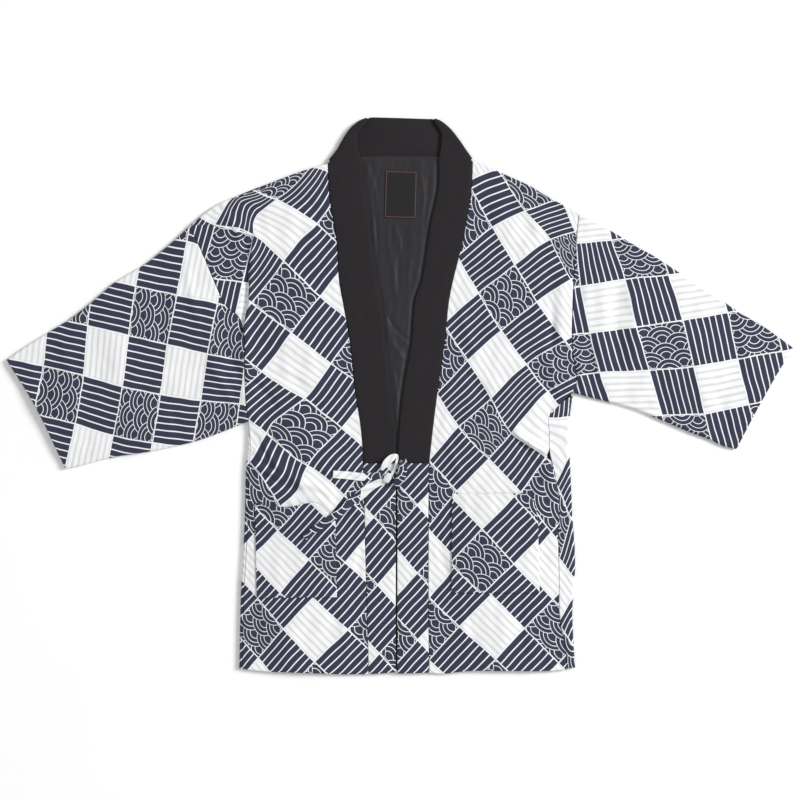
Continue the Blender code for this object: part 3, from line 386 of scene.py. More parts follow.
# The print is a lattice of slanted squares. Each row gives a crossing of its lines: the column i,
# counted down to the right, the row j, counted up to the right, and where it lies in the view.
VIEW_STEP = 1.65     # millimetres to one step of the view
VIEW_MIDDLE = (400.3, 396.0)
VIEW_SIZE = 800      # the view's width in steps
CELL = 77.8          # side of a printed square in millimetres
CROSSINGS = {
    "front_left": [
        # i, j, x, y
        (1, -1, 258.2, 658.1), (0, 0, 257.6, 598.1), (1, 0, 283.4, 628.7), (2, 0, 314.5, 661.8),
        (1, 1, 312.9, 597.6), (2, 1, 347.6, 629.7), (1, 2, 345.0, 562.4), (-2, 2, 249.2, 461.0),
        (-1, 2, 280.3, 506.3), (-2, 3, 266.0, 433.1), (-1, 3, 307.6, 465.8), (0, 3, 343.9, 495.2),
        (-3, 4, 261.9, 371.6), (-2, 4, 304.6, 398.3), (-1, 4, 341.8, 427.9), (-4, 5, 251.6, 302.8),
        (-3, 5, 291.4, 332.6), (-2, 5, 330.8, 363.7), (-3, 6, 320.0, 296.5), (-4, 6, 283.7, 261.0),
        (-5, 6, 253.8, 234.9), (-6, 6, 214.9, 224.8), (-6, 7, 252.5, 189.3), (-5, 7, 276.5, 199.4),
        (-4, 7, 316.7, 224.0), (-5, 8, 311.0, 166.0), (-4.5, 8, 325.5, 170.5), (-4, 7.53, 331.0, 203.5),
        # lines pulled round the left shoulder
        (-6, 6.5, 229.0, 201.3), (-5.86, 6.5, 227.5, 210.0), (-5.71, 6.2, 228.5, 219.5),
        (-5.71, 6.5, 231.0, 209.5), (-5.57, 6.5, 237.5, 209.0), (-5.57, 6.75, 241.0, 201.0),
        (-5.43, 6.2, 241.5, 221.0), (-5.43, 6.5, 244.0, 208.5), (-5.29, 6.5, 248.0, 211.0),
        (-5.29, 6.75, 254.5, 203.5), (-5.14, 6.2, 250.0, 224.0), (-5.14, 6.5, 253.3, 213.5),
        (-5.14, 6.75, 260.0, 207.0), (-5, 6.25, 253.2, 224.0), (-5, 6.5, 257.0, 215.0),
        (-5, 6.75, 264.5, 208.5),
        # lines bent by the slanting fold over the left pocket
        (-1.86, 2.3, 260.0, 463.0), (-1.86, 2.65, 265.0, 452.0), (-1.71, 2.25, 266.0, 468.5),
        (-1.71, 2.6, 271.5, 457.5), (-1.57, 2.25, 271.0, 475.5), (-1.57, 2.6, 277.0, 466.0),
        (-1.43, 2.3, 278.0, 481.0), (-1.43, 2.6, 284.5, 471.0), (-1.29, 2.35, 285.5, 483.5),
        (-1.29, 2.65, 291.0, 472.5), (-1.14, 2.35, 292.5, 486.5), (-1.14, 2.65, 297.5, 475.0),
        (-1, 2.4, 298.5, 489.5), (-1, 2.7, 303.0, 475.0), (-2, 2.65, 257.0, 450.0),
        # lines under the left arm
        (-2, 3.3, 272.0, 423.0), (-2, 3.55, 281.0, 415.5), (-2.14, 3, 260.5, 428.0),
        (-2.14, 3.3, 268.5, 419.0), (-2.29, 3, 253.7, 423.5), (-2.29, 3.3, 262.0, 414.5),
    ],
    "front_left_strip": [
        (-6, 5, 200.4, 277.0), (-6, 6, 214.9, 224.8), (-5, 6, 253.8, 234.9), (-5, 5, 242.8, 282.3),
        (-5, 4, 233.0, 326.0),
    ],
    "front_right": [
        (0, 4, 467.5, 181.4), (0, 5, 497.8, 168.8), (1, 3, 457.2, 256.5), (1, 4, 492.5, 227.2),
        (1, 5, 525.1, 211.2), (2, 2, 443.5, 324.0), (2, 3, 478.4, 292.8), (2, 4, 514.7, 265.0),
        (2, 5, 550.1, 239.3), (3, 1, 436.8, 393.9), (3, 2, 468.0, 360.7), (3, 3, 501.1, 330.6),
        (3, 4, 536.8, 302.0), (3, 5, 571.0, 279.6), (4, 1, 458.7, 426.8), (4, 2, 491.0, 398.5),
        (4, 3, 526.1, 364.3), (4, 4, 564.9, 340.8), (5, 3, 547.6, 391.8), (5, 2, 511.2, 433.3),
        (5, 1, 489.0, 458.7), (5, 0, 456.9, 491.1), (4, 0, 429.2, 459.9), (6, 1, 520.6, 492.3),
        (6, 2, 546.0, 457.0), (7, 1, 551.3, 532.4), (7, -1, 491.2, 594.6), (7, -2, 459.3, 626.4),
        (8, -2, 495.3, 658.9), (8, -1, 524.2, 628.2), (6, -2, 429.2, 597.5), (7, -3, 428.6, 660.0),
        (8, 0, 553.1, 599.3), (9, -1, 558.4, 663.0), (1, 6, 560.5, 198.5), (2, 6, 575.0, 231.3),
    ],
    "pocket_left": [
        (1, 0, 249.4, 559.6), (1, 1, 278.1, 530.5), (2, 1, 308.7, 559.2), (2, 0, 279.9, 592.6),
        (3, 1, 338.1, 588.7),
    ],
    "pocket_right": [
        (0, 1, 449.8, 562.8), (0, 2, 482.0, 528.7), (1, 2, 513.7, 563.7), (1, 1, 481.6, 594.5),
    ],
    "band_left": [
        (0, 1, 373.9, 516.8), (1, 0, 377.6, 585.0), (2, -1, 379.2, 653.4), (1, 1, 405.9, 551.8),
        (2, 0, 409.6, 620.0),
    ],
    "band_right": [
        (1, 0, 417.4, 505.3), (2, -1, 417.4, 572.8), (3, -2, 418.0, 640.0), (2, 0, 448.0, 539.5),
        (3, -1, 448.0, 607.0),
    ],
    "sleeve_left": [
        (0, 1, 43.2, 366.0), (0, 2, 83.7, 375.6), (1, 2, 75.4, 423.8), (1, 1, 33.1, 414.3),
        (-1, 2, 87.4, 325.7), (-1, 3, 128.8, 335.4), (0, 3, 122.7, 386.6), (1, 3, 113.2, 435.7),
        (-2, 3, 135.5, 286.2), (-2, 4, 176.9, 295.1), (-2, 5, 217.6, 303.5), (-1, 4, 167.3, 344.6),
        (-1, 5, 207.8, 354.1), (-1, 6, 246.2, 361.4), (0, 4, 160.4, 394.5), (0, 5, 200.7, 400.3),
        (0, 6, 239.6, 404.0), (-3, 4, 186.8, 241.8),
    ],
    "sleeve_right": [
        (2, 1, 575.4, 243.5), (1, 1, 611.7, 240.0), (2, 2, 580.5, 286.4), (1, 2, 625.2, 279.0),
        (0, 2, 668.7, 275.0), (2, 3, 589.8, 333.1), (1, 3, 636.2, 327.1), (0, 3, 682.8, 320.2),
        (-1, 3, 727.6, 312.4), (2, 4, 600.0, 372.5), (1, 4, 649.1, 370.4), (0, 4, 693.6, 366.5),
        (-1, 4, 737.3, 359.1), (-2, 4, 782.1, 351.2), (0, 5, 704.5, 413.6), (-1, 5, 748.8, 404.5),
        (1, 5, 662.0, 415.0),
    ],
    "back": [
        (5, 3.55, 554.5, 391.0), (5.6, 3.55, 573.0, 388.0), (5, 3, 551.5, 416.5), (5.6, 3, 571.0, 415.0),
        (5.3, 2.5, 551.0, 443.0), (6, 2.6, 571.0, 458.0), (6, 2, 558.4, 484.0), (7, 2, 573.6, 520.0),
        (7, 1, 561.7, 559.2), (8, 1, 581.6, 587.0), (8, 0, 560.6, 624.1), (9, 0, 585.0, 660.3),
    ],
}
CHART_EASE = 0.004   # how far the print may miss a crossing for the sake of smooth lines
PRINT_DRIFT = 0.009  # the print's small drift, in squares, and its length from crest to crest
DRIFT_SIZES = (54.0, 47.0)

# Where a deep fold at the left shoulder hides some cloth, the print jumps across it. The strip
# beside the sleeve ends at this fold, and above at a line of the lattice. Places in the view.
STRIP_FOLD = [(253.8, 234.6), (251.5, 246.0), (250.0, 262.0), (248.4, 275.0), (249.0, 288.0),
              (247.7, 304.0), (245.4, 315.5), (243.1, 330.4), (240.0, 352.0)]
STRIP_TOP = [(170.0, 222.0), (190.0, 225.0), (214.9, 224.8), (232.0, 228.3), (253.8, 234.6)]
STRIP_UNIT = 100.0   # millimetres to one step of the map that tells the strip from the rest
PLEAT_STEP = 0.9     # half width of the steep side of that fold
PLEAT_RISE = 6.0     # how far its edge stands up, and over what width
PLEAT_EDGE = 13.0
PLEAT_DEPTH = 5.0    # depth and width of the valley beside it
PLEAT_VALLEY = 5.5
PLEAT_ENDS = (84.0, 274.0)
PLEAT_EASE = 32.0    # how far from its ends the fold takes to reach its full height

NOTCH_Y = -99.0      # where the right front's side edge gapes, how deep and how tall
NOTCH_DEPTH = 5.5
NOTCH_HALF = 7.0
NOTCH_FADE = 7.0     # how far into the front the gap's edge still pulls it, in cells


def unit(vectors):
    """Vectors brought to a length of 1."""
    return vectors / np.maximum(np.linalg.norm(vectors, axis=-1, keepdims=True), TINY)


def soft_step(share):
    """From 0 to 1 with soft ends, and level beyond them."""
    share = np.clip(share, 0, 1)
    return share * share * (3 - 2 * share)


def with_height(flat, z):
    """Points of a flat line or grid at the given heights."""
    return np.concatenate([flat, np.broadcast_to(z, flat.shape[:-1])[..., None]], axis=-1)


def run_along(points):
    """How far each point of a line is from its start, along the line."""
    steps = np.linalg.norm(np.diff(points, axis=0), axis=1)
    return np.concatenate([[0], np.cumsum(steps)])


def placed(u, v, centre, turn):
    """x and y of points given about a centre, turned."""
    return (centre[0] + u * math.cos(turn) - v * math.sin(turn),
            centre[1] + u * math.sin(turn) + v * math.cos(turn))


def smooth_line(points, cells):
    """Points spaced evenly along a smooth curve through the given ones, which may be 2-D or 3-D."""
    p = np.asarray(points, float)
    p = np.vstack([2 * p[0] - p[1], p, 2 * p[-1] - p[-2]])
    step = np.sqrt(np.maximum(np.linalg.norm(np.diff(p, axis=0), axis=1), TINY))
    knot = np.concatenate([[0], np.cumsum(step)])
    dense = []
    for k in range(1, len(p) - 2):
        t = np.linspace(knot[k], knot[k + 1], CURVE_STEPS + 1)[:-1, None]
        t0, t1, t2, t3 = knot[k - 1:k + 3]
        a1 = ((t1 - t) * p[k - 1] + (t - t0) * p[k]) / (t1 - t0)
        a2 = ((t2 - t) * p[k] + (t - t1) * p[k + 1]) / (t2 - t1)
        a3 = ((t3 - t) * p[k + 1] + (t - t2) * p[k + 2]) / (t3 - t2)
        b1 = ((t2 - t) * a1 + (t - t0) * a2) / (t2 - t0)
        b2 = ((t3 - t) * a2 + (t - t1) * a3) / (t3 - t1)
        dense.append(((t2 - t) * b1 + (t - t1) * b2) / (t2 - t1))
    dense = np.vstack(dense + [p[-2:-1]])
    run = run_along(dense)
    even = np.linspace(0, run[-1], cells + 1)
    return np.stack([np.interp(even, run, dense[:, k]) for k in range(dense.shape[1])], axis=1)


def coons(first, last, start, end):
    """A grid between four edges: rows run along first and last, columns from start to end."""
    u = np.linspace(0, 1, len(start))[None, :, None]
    v = np.linspace(0, 1, len(first))[:, None, None]
    across = first[:, None] * (1 - u) + last[:, None] * u
    along = start[None] * (1 - v) + end[None] * v
    corners = ((1 - u) * (1 - v) * first[0] + u * (1 - v) * last[0]
               + (1 - u) * v * first[-1] + u * v * last[-1])
    return across + along - corners


def pin_block(grid, rows, columns, block):
    """Move part of a grid onto a block of points, and ease the rest of the grid after it."""
    (r0, r1), (c0, c1) = rows, columns
    shift = block - grid[r0:r1 + 1, c0:c1 + 1]
    moved = grid.copy()
    for r in range(grid.shape[0]):
        ease_r = min(1.0, r / r0, (grid.shape[0] - 1 - r) / (grid.shape[0] - 1 - r1))
        for c in range(grid.shape[1]):
            ease_c = min(1.0, c / c0, (grid.shape[1] - 1 - c) / (grid.shape[1] - 1 - c1))
            near = shift[min(max(r, r0), r1) - r0, min(max(c, c0), c1) - c0]
            moved[r, c] += near * ease_r * ease_c
    return moved


def pull_in(grid, distance):
    """Draw the border of a grid inwards along its own rows and columns."""
    result = grid.copy()
    for axis in (0, 1):
        g = np.swapaxes(grid, 0, axis)
        out = np.swapaxes(result, 0, axis)
        for edge, near in ((0, 1), (-1, -2)):
            step = g[near] - g[edge]
            most = MOST_PULL * np.linalg.norm(step, axis=-1, keepdims=True)
            out[edge] += unit(step) * np.minimum(distance, most)
    return result


def denser(points, steps):
    """Points with so many steps to each old one along the first axis, on smooth curves."""
    ends = [2 * points[:1] - points[1:2], 2 * points[-1:] - points[-2:-1]]
    p = np.concatenate([ends[0], points, ends[1]])[:, None]
    a, b, c, d = p[:-3], p[1:-2], p[2:-1], p[3:]
    t = (np.arange(steps) / steps).reshape((1, steps) + (1,) * (points.ndim - 1))
    curve = b + 0.5 * t * ((c - a) + t * ((2 * a - 5 * b + 4 * c - d) + t * (3 * b - a - 3 * c + d)))
    return np.concatenate([curve.reshape((-1,) + points.shape[1:]), points[-1:]])


def refine(grid, steps):
    """A finer grid through the points of a grid."""
    return np.swapaxes(denser(np.swapaxes(denser(grid, steps), 0, 1), steps), 0, 1)


def nearest_on(x, y, line):
    """Distance from points to a line, and 1 or -1 for the right or left hand of someone walking it."""
    nearest, hand = np.full(np.shape(x), np.inf), np.zeros(np.shape(x))
    for (ax, ay), (bx, by) in zip(line[:-1], line[1:]):
        dx, dy = bx - ax, by - ay
        t = np.clip(((x - ax) * dx + (y - ay) * dy) / (dx * dx + dy * dy), 0, 1)
        away = np.hypot(x - ax - t * dx, y - ay - t * dy)
        closer = away < nearest
        nearest = np.where(closer, away, nearest)
        hand = np.where(closer, np.sign((x - ax) * dy - (y - ay) * dx), hand)
    return nearest, hand


def distance_to(x, y, lines):
    """Distance from points to the nearest of several lines."""
    return np.min([nearest_on(x, y, line)[0] for line in lines], axis=0)


def side_of(x, y, line):
    """Distance to a line, positive on the right hand of someone walking along it."""
    nearest, hand = nearest_on(x, y, line)
    return nearest * hand


# The closed or stitched edges, where the padding is pressed flat
EDGES = [half[key] for half in HALVES.values()
         for key in ("side", "sleeve_bottom", "sleeve_top", "shoulder", "seam")]


def folds_of(table, x, y):
    """Height of a table of folds: ridges and troughs along slightly bowed lines."""
    height = np.zeros(np.shape(x))
    for x0, y0, x1, y1, bow, width, rise in table:
        length = math.hypot(x1 - x0, y1 - y0)
        ux, uy = (x1 - x0) / length, (y1 - y0) / length
        t = ((x - x0) * ux + (y - y0) * uy) / length
        aside = (y - y0) * ux - (x - x0) * uy - bow * 4 * t * (1 - t)
        fade = soft_step((np.minimum(t, 1 - t) + FOLD_PAST) / FOLD_FADE)
        height = height + rise * np.exp(-(aside / width) ** 2) * fade
    return height


def ripple(x, y, size):
    """Uneven soft waves between -1 and 1, about so long from crest to crest."""
    total = 0.0
    for turn, stretch, phase in WAVES:
        run = (x * math.cos(turn) + y * math.sin(turn)) * stretch / size
        cross = (y * math.cos(turn) - x * math.sin(turn)) / size
        total = total + np.sin(2 * math.pi * run + phase + SWAY * np.sin(SWAY_RATE * cross + phase))
    return total / len(WAVES)


def ripples(x, y, table):
    """Broad and fine unevenness together."""
    (broad, broad_size), (fine, fine_size) = table
    return broad * ripple(x, y, broad_size) + fine * ripple(y, x, fine_size)


def on_cloth(places):
    """Places in the view as millimetres on the surface."""
    places = np.asarray(places, float)
    return np.stack([(places[..., 0] - VIEW_MIDDLE[0]) * VIEW_STEP,
                     (VIEW_MIDDLE[1] - places[..., 1]) * VIEW_STEP], axis=-1)


def pleat(x, y):
    """The deep fold at the left shoulder: a raised edge, and a steep narrow valley on its left."""
    beside = side_of(x, y, on_cloth(STRIP_FOLD))
    share = (1 + np.tanh(beside / PLEAT_STEP)) / 2
    edge = PLEAT_RISE * np.exp(-(beside / PLEAT_EDGE) ** 2)
    valley = -PLEAT_DEPTH * np.exp(-(beside / PLEAT_VALLEY) ** 2)
    from_end = np.minimum(y - PLEAT_ENDS[0], PLEAT_ENDS[1] - y)
    return ((1 - share) * edge + share * valley) * soft_step(from_end / PLEAT_EASE)


def lift(x, y):
    """How far the upper layer stands over its lowest place: padding, folds, creases and ripples."""
    away = distance_to(x, y, EDGES)
    height = PUFF * (1 - np.exp(-(away / PUFF_REACH) ** 2))
    height = height + folds_of(FOLDS, x, y) + CREASE_GAIN * folds_of(CREASES, x, y)
    height = height + pleat(x, y) + ripples(x, y, PADDING_RIPPLES)
    height = height * soft_step(away / CALM_REACH)
    strip = np.exp(-((away - PUCKER_AT) / PUCKER_WIDTH) ** 2)
    pucker = PUCKER * ripple(x, y, PUCKER_SIZE) * strip
    return np.maximum(EDGE_LIFT + height + pucker, LEAST_LIFT)


def front_top(x, y):
    """Height of the fronts' outer face."""
    return FRONT_UNDER + FRONT_WALL + lift(x, y)


class Chart:
    """Where the print lies on one piece: an even lattice, bent so that it meets the crossings."""

    def __init__(self, crossings):
        table = np.array(crossings, float)
        self.at = on_cloth(table[:, 2:])
        plane = self.plane(self.at)
        self.even = np.linalg.lstsq(plane, table[:, :2], rcond=None)[0]
        rest = table[:, :2] - plane @ self.even
        bend = self.bending(self.at) + CHART_EASE * np.eye(len(table))
        system = np.block([[bend, plane], [plane.T, np.zeros((3, 3))]])
        solved = np.linalg.lstsq(system, np.vstack([rest, np.zeros((3, 2))]), rcond=None)[0]
        self.pull, self.tilt = solved[:-3], solved[-3:]

    def plane(self, flat):
        """x, y and 1 at each point."""
        return np.concatenate([flat / CELL, np.ones(flat.shape[:-1] + (1,))], axis=-1)

    def bending(self, flat):
        """How each crossing bends the lattice at each point."""
        gap = ((flat[..., None, :] - self.at) ** 2).sum(axis=-1) / CELL ** 2
        return gap * np.log(np.maximum(gap, TINY)) / 2

    def __call__(self, flat, seen=None):
        """Lattice coordinates (i, j) of points in millimetres. Where the cloth lies folded, flat is
        the point on the opened cloth and seen the point on the surface above or below it."""
        seen = flat if seen is None else seen
        return self.plane(flat) @ self.even + self.bending(seen) @ self.pull + self.plane(seen) @ self.tilt


CHARTS = {name: Chart(crossings) for name, crossings in CROSSINGS.items()}


def print_at(name, flat, seen=None):
    """The print's coordinates on a piece, with the small drift of real cloth."""
    x, y = flat[..., 0], flat[..., 1]
    drift = [ripple(x, y, DRIFT_SIZES[0]), ripple(y, -x, DRIFT_SIZES[1])]
    return CHARTS[name](flat, seen) + np.stack(drift, axis=-1) * PRINT_DRIFT


def strip_share(flat):
    """Positive on the strip beside the left sleeve, and negative past its fold and its top."""
    x, y = flat[..., 0], flat[..., 1]
    return np.minimum(side_of(x, y, on_cloth(STRIP_FOLD)), side_of(x, y, on_cloth(STRIP_TOP)))


def add_object(name, data, location=(0, 0, 0)):
    """An object in the scene."""
    thing = bpy.data.objects.new(name, data)
    thing.location = location
    bpy.context.scene.collection.objects.link(thing)
    return thing


def make_object(name, points, faces, maps, outside, materials):
    """A closed mesh of quads, in metres, with maps of the print at its corners."""
    a, b, c, d = (points[faces[:, k]] for k in range(4))
    volume = (np.cross(b - a, c - a) * a).sum() + (np.cross(c - a, d - a) * a).sum()
    if volume < 0:
        faces = faces[:, ::-1]
        maps = {key: corners[:, ::-1] for key, corners in maps.items()}
    mesh = bpy.data.meshes.new(name)
    mesh.from_pydata((points * MM).tolist(), [], faces.tolist())
    mesh.shade_smooth()
    for key, corners in maps.items():
        layer = mesh.uv_layers.new(name=key)
        layer.data.foreach_set("uv", np.ascontiguousarray(corners, dtype=np.float32).ravel())
    for material in materials:
        mesh.materials.append(material)
    mesh.polygons.foreach_set("material_index", np.where(outside, 0, len(materials) - 1).astype(np.int32))
    mesh.update()
    piece = add_object(name + "_shell", mesh)
    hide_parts(name)
    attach(piece, "root")
    return piece


def sheet(name, middle, normal, wall, materials, maps, rim=RIM, outer=1, lined_end=False):
    """A piece of cloth with real thickness and a round rim. maps holds the print's coordinates at
    each point, or several such maps by name. outer is 1 if the piece's right side faces along the
    normals, and -1 otherwise. With lined_end the rim along the last row is of the lining."""
    rows, columns = middle.shape[:2]
    count = rows * columns
    face = pull_in(middle, rim)
    border = np.array([(0, c) for c in range(columns)]
                      + [(r, columns - 1) for r in range(1, rows)]
                      + [(rows - 1, c) for c in range(columns - 2, -1, -1)]
                      + [(r, 0) for r in range(rows - 2, 0, -1)])
    br, bc = border[:, 0], border[:, 1]
    near, edge, up = face[br, bc], middle[br, bc], normal[br, bc]
    rings = [near + (edge - near) * math.cos(t) + up * wall / 2 * math.sin(t) for t in RIM_TURNS]
    points = np.concatenate([(face + normal * wall / 2).reshape(-1, 3),
                             (face - normal * wall / 2).reshape(-1, 3)] + rings)
    if not isinstance(maps, dict):
        maps = {"Print": maps}
    corners = {key: np.concatenate([uv.reshape(-1, 2), uv.reshape(-1, 2)] + [uv[br, bc]] * len(rings))
               for key, uv in maps.items()}
    index = np.arange(count).reshape(rows, columns)
    upper = np.stack([index[:-1, :-1], index[:-1, 1:], index[1:, 1:], index[1:, :-1]], axis=-1)
    upper = upper.reshape(-1, 4)
    lower = upper[:, ::-1] + count
    loops = [index[br, bc]] + [2 * count + k * len(border) + np.arange(len(border))
                               for k in range(len(rings))] + [index[br, bc] + count]
    strips = [np.stack([one, other, np.roll(other, -1), np.roll(one, -1)], axis=-1)
              for one, other in zip(loops[:-1], loops[1:])]
    faces = np.concatenate([upper, lower] + strips)
    outside = np.ones(len(faces), bool)
    hidden = slice(len(upper), 2 * len(upper)) if outer > 0 else slice(0, len(upper))
    outside[hidden] = False
    if lined_end:
        outside[2 * len(upper):] = np.tile(br != rows - 1, len(strips))
    corners = {key: place[faces] for key, place in corners.items()}
    return make_object(name, points, faces, corners, outside, materials)


def upright(flat):
    """Normals of a piece that lies flat, face up."""
    return np.broadcast_to(UP, flat.shape[:2] + (3,))


def side_lines(half):
    """Silhouette, front's side edge, and flap width at each row from hem to underarm."""
    outline = smooth_line(half["side"], SIDE_ROWS)
    heights, widths = zip(*half["flap"])
    flap = np.interp(outline[:, 1], heights, widths)
    inwards = -np.sign(outline[0, 0])
    edge = outline + np.stack([flap * inwards, np.zeros_like(flap)], axis=1)
    hem = np.array(sorted(half["hem"]), float)
    edge[0, 1] = np.interp(edge[0, 0], hem[:, 0], hem[:, 1])
    return outline, edge, flap


def seam_line(half):
    """The line where a front meets band and collar, row by row."""
    points = half["seam"]
    end = [y for _, y in points].index(BAND_TOP)
    return smooth_line(points[:end + 1], BAND_ROWS), smooth_line(points[end:], COLLAR_ROWS)


def pocket_block(pocket):
    """The pocket's place on the front, from its lower edge to its curved mouth."""
    low, mouth = (smooth_line(pocket[key], pocket["last"] - pocket["first"]) for key in ("low", "mouth"))
    rows = POCKET_ROWS[1] - POCKET_ROWS[0]
    first, last = (smooth_line([low[end], mouth[end]], rows) for end in (0, -1))
    return coons(first, last, low, mouth)


def front_grid(half):
    """Flat grid of a front, from its side edge to its band, with the pocket's place pinned."""
    _, edge, _ = side_lines(half)
    first = np.vstack([edge[:-1], smooth_line(half["armhole"], ARM_ROWS)])
    band, collar = seam_line(half)
    last = np.vstack([band, collar[1:]])
    widest = abs(first[0, 0]) - HEM_CLEAR
    hem = [first[0]] + [point for point in half["hem"][1:-1] if abs(point[0]) < widest] + [last[0]]
    grid = coons(first, last, smooth_line(hem, FRONT_COLUMNS), smooth_line(half["shoulder"], FRONT_COLUMNS))
    pocket = half["pocket"]
    grid = pin_block(grid, POCKET_ROWS, (pocket["first"], pocket["last"]), pocket_block(pocket))
    return pull_in(grid, SEAM_BACK)


def make_front(side, half, cloth, lining):
    """A front with its padding and folds."""
    name = "front_" + side
    flat = refine(front_grid(half), FINE)
    if side == "right":
        notch = NOTCH_DEPTH * np.exp(-((flat[:, :1, 1] - NOTCH_Y) / NOTCH_HALF) ** 2)
        flat[..., 0] -= notch * np.exp(-np.arange(flat.shape[1]) / NOTCH_FADE)
    maps = {"Print": print_at(name, flat)}
    if side == "left":
        share = strip_share(flat) / STRIP_UNIT
        maps["PrintStrip"] = print_at("front_left_strip", flat)
        maps["Strip"] = np.stack([share, 0 * share], axis=-1)
    middle = front_top(flat[..., 0], flat[..., 1]) - FRONT_WALL / 2
    front = sheet(name, with_height(flat, middle), upright(flat), FRONT_WALL, [cloth, lining], maps)
    return front, make_pocket(side, half["pocket"], flat, cloth, lining)


def make_pocket(side, pocket, flat, cloth, lining):
    """A patch pocket made from its front's own points, with a slightly open mouth."""
    name = "pocket_" + side
    rows = slice(POCKET_ROWS[0] * FINE, POCKET_ROWS[1] * FINE + 1)
    columns = slice(pocket["first"] * FINE, pocket["last"] * FINE + 1)
    part = flat[rows, columns]
    u = np.linspace(0, 1, part.shape[1])[None, :]
    v = np.linspace(0, 1, part.shape[0])[:, None]
    bulge = POCKET_BULGE * np.sin(math.pi * u) ** POCKET_FULLNESS * v ** 2
    middle = front_top(part[..., 0], part[..., 1]) + GAP + bulge + POCKET_WALL / 2
    return sheet(name, with_height(part, middle), upright(part), POCKET_WALL, [cloth, lining],
                 print_at(name, part), rim=POCKET_RIM)


def make_band(side, half, cloth, lining):
    """The printed lower end of the collar band, from the hem to the black collar's end."""
    name = "band_" + side
    outer, _ = seam_line(half)
    centre = smooth_line(half["centre"], BAND_ROWS)
    start, end = (smooth_line([outer[row], centre[row]], BAND_COLUMNS) for row in (0, -1))
    flat = refine(pull_in(coons(outer, centre, start, end), SEAM_BACK), 2 * FINE_SMALL)
    flatness = 1 - np.linspace(-1, 1, flat.shape[1]) ** 4
    uneven = BAND_RIPPLE * ripple(flat[..., 0], flat[..., 1], BAND_RIPPLE_SIZE)
    middle = BAND_UNDER[side] + BAND_WALL / 2 + (BAND_CROWN + uneven) * flatness
    return sheet(name, with_height(flat, middle), upright(flat), BAND_WALL, [cloth, lining],
                 print_at(name, flat))


def make_sleeve(side, half, cloth, lining):
    """A sleeve as a tube pressed flat, folded along its top and open at both ends."""
    name = "sleeve_" + side
    root, cuff = (smooth_line(half[key], ARM_ROWS) for key in ("armhole", "cuff"))
    low, high = (smooth_line(half[key], SLEEVE_STATIONS) for key in ("sleeve_bottom", "sleeve_top"))
    grid = coons(low, high, root, cuff)
    grid[0, :, 0] += np.sign(grid[-1, 0, 0]) * 2 * SEAM_BACK
    grid = refine(grid, FINE_SLEEVE)
    ends = grid[:, [0, -1]].copy()
    for edge, inwards in ((0, 1), (-1, -1)):
        shift = unit(grid[:, edge + inwards * FINE_SLEEVE] - grid[:, edge]) * EDGE_RADIUS
        for k in range(FINE_SLEEVE):
            grid[:, edge + inwards * k] += shift * (1 - k / FINE_SLEEVE)
    top = 2 * EDGE_RADIUS - EDGE_LIFT + lift(grid[..., 0], grid[..., 1])
    top[:, [0, -1]] = 2 * EDGE_RADIUS
    outer, opened = sleeve_rings(grid, ends, EDGE_RADIUS, top)
    inner, _ = sleeve_rings(grid, ends, EDGE_RADIUS - SLEEVE_WALL, top - SLEEVE_WALL)
    seen = np.concatenate([outer, outer[:, :1]], axis=1)[..., :2]
    return close_tube(name, outer, inner, print_at(name, opened, seen), [cloth, lining])


def sleeve_rings(grid, ends, radius, top):
    """Sections of a flattened sleeve: round its lower fold, over, round the top fold and back
    below. Also gives where each point lies when the tube is opened out flat."""
    def arc(axis, edge, turns):
        """Points round one fold of the sleeve, and where they lie when it is opened out."""
        out = edge - axis
        points = [with_height(axis + out * radius / EDGE_RADIUS * math.cos(turn),
                              EDGE_RADIUS + radius * math.sin(turn)) for turn in turns]
        opened = [axis + out * (math.pi / 2 - turn) for turn in turns]
        return np.stack(points, axis=1), np.stack(opened, axis=1)

    low_points, low_open = arc(grid[:, 0], ends[:, 0], ARC_TURNS[::-1])
    high_points, high_open = arc(grid[:, -1], ends[:, 1], ARC_TURNS)
    below = grid[:, ::-1]
    below_open = 2 * grid[:, -1:] - below + math.pi * (ends[:, 1:] - grid[:, -1:])
    past = below_open[:, -1:] + (below_open[:, -1:] - below_open[:, -2:-1]) * PAST_SEAM
    rings = np.concatenate([low_points, with_height(grid, top), high_points,
                            with_height(below, EDGE_RADIUS - radius)], axis=1)
    opened = np.concatenate([low_open, grid, high_open, below_open, past], axis=1)
    return rings, opened


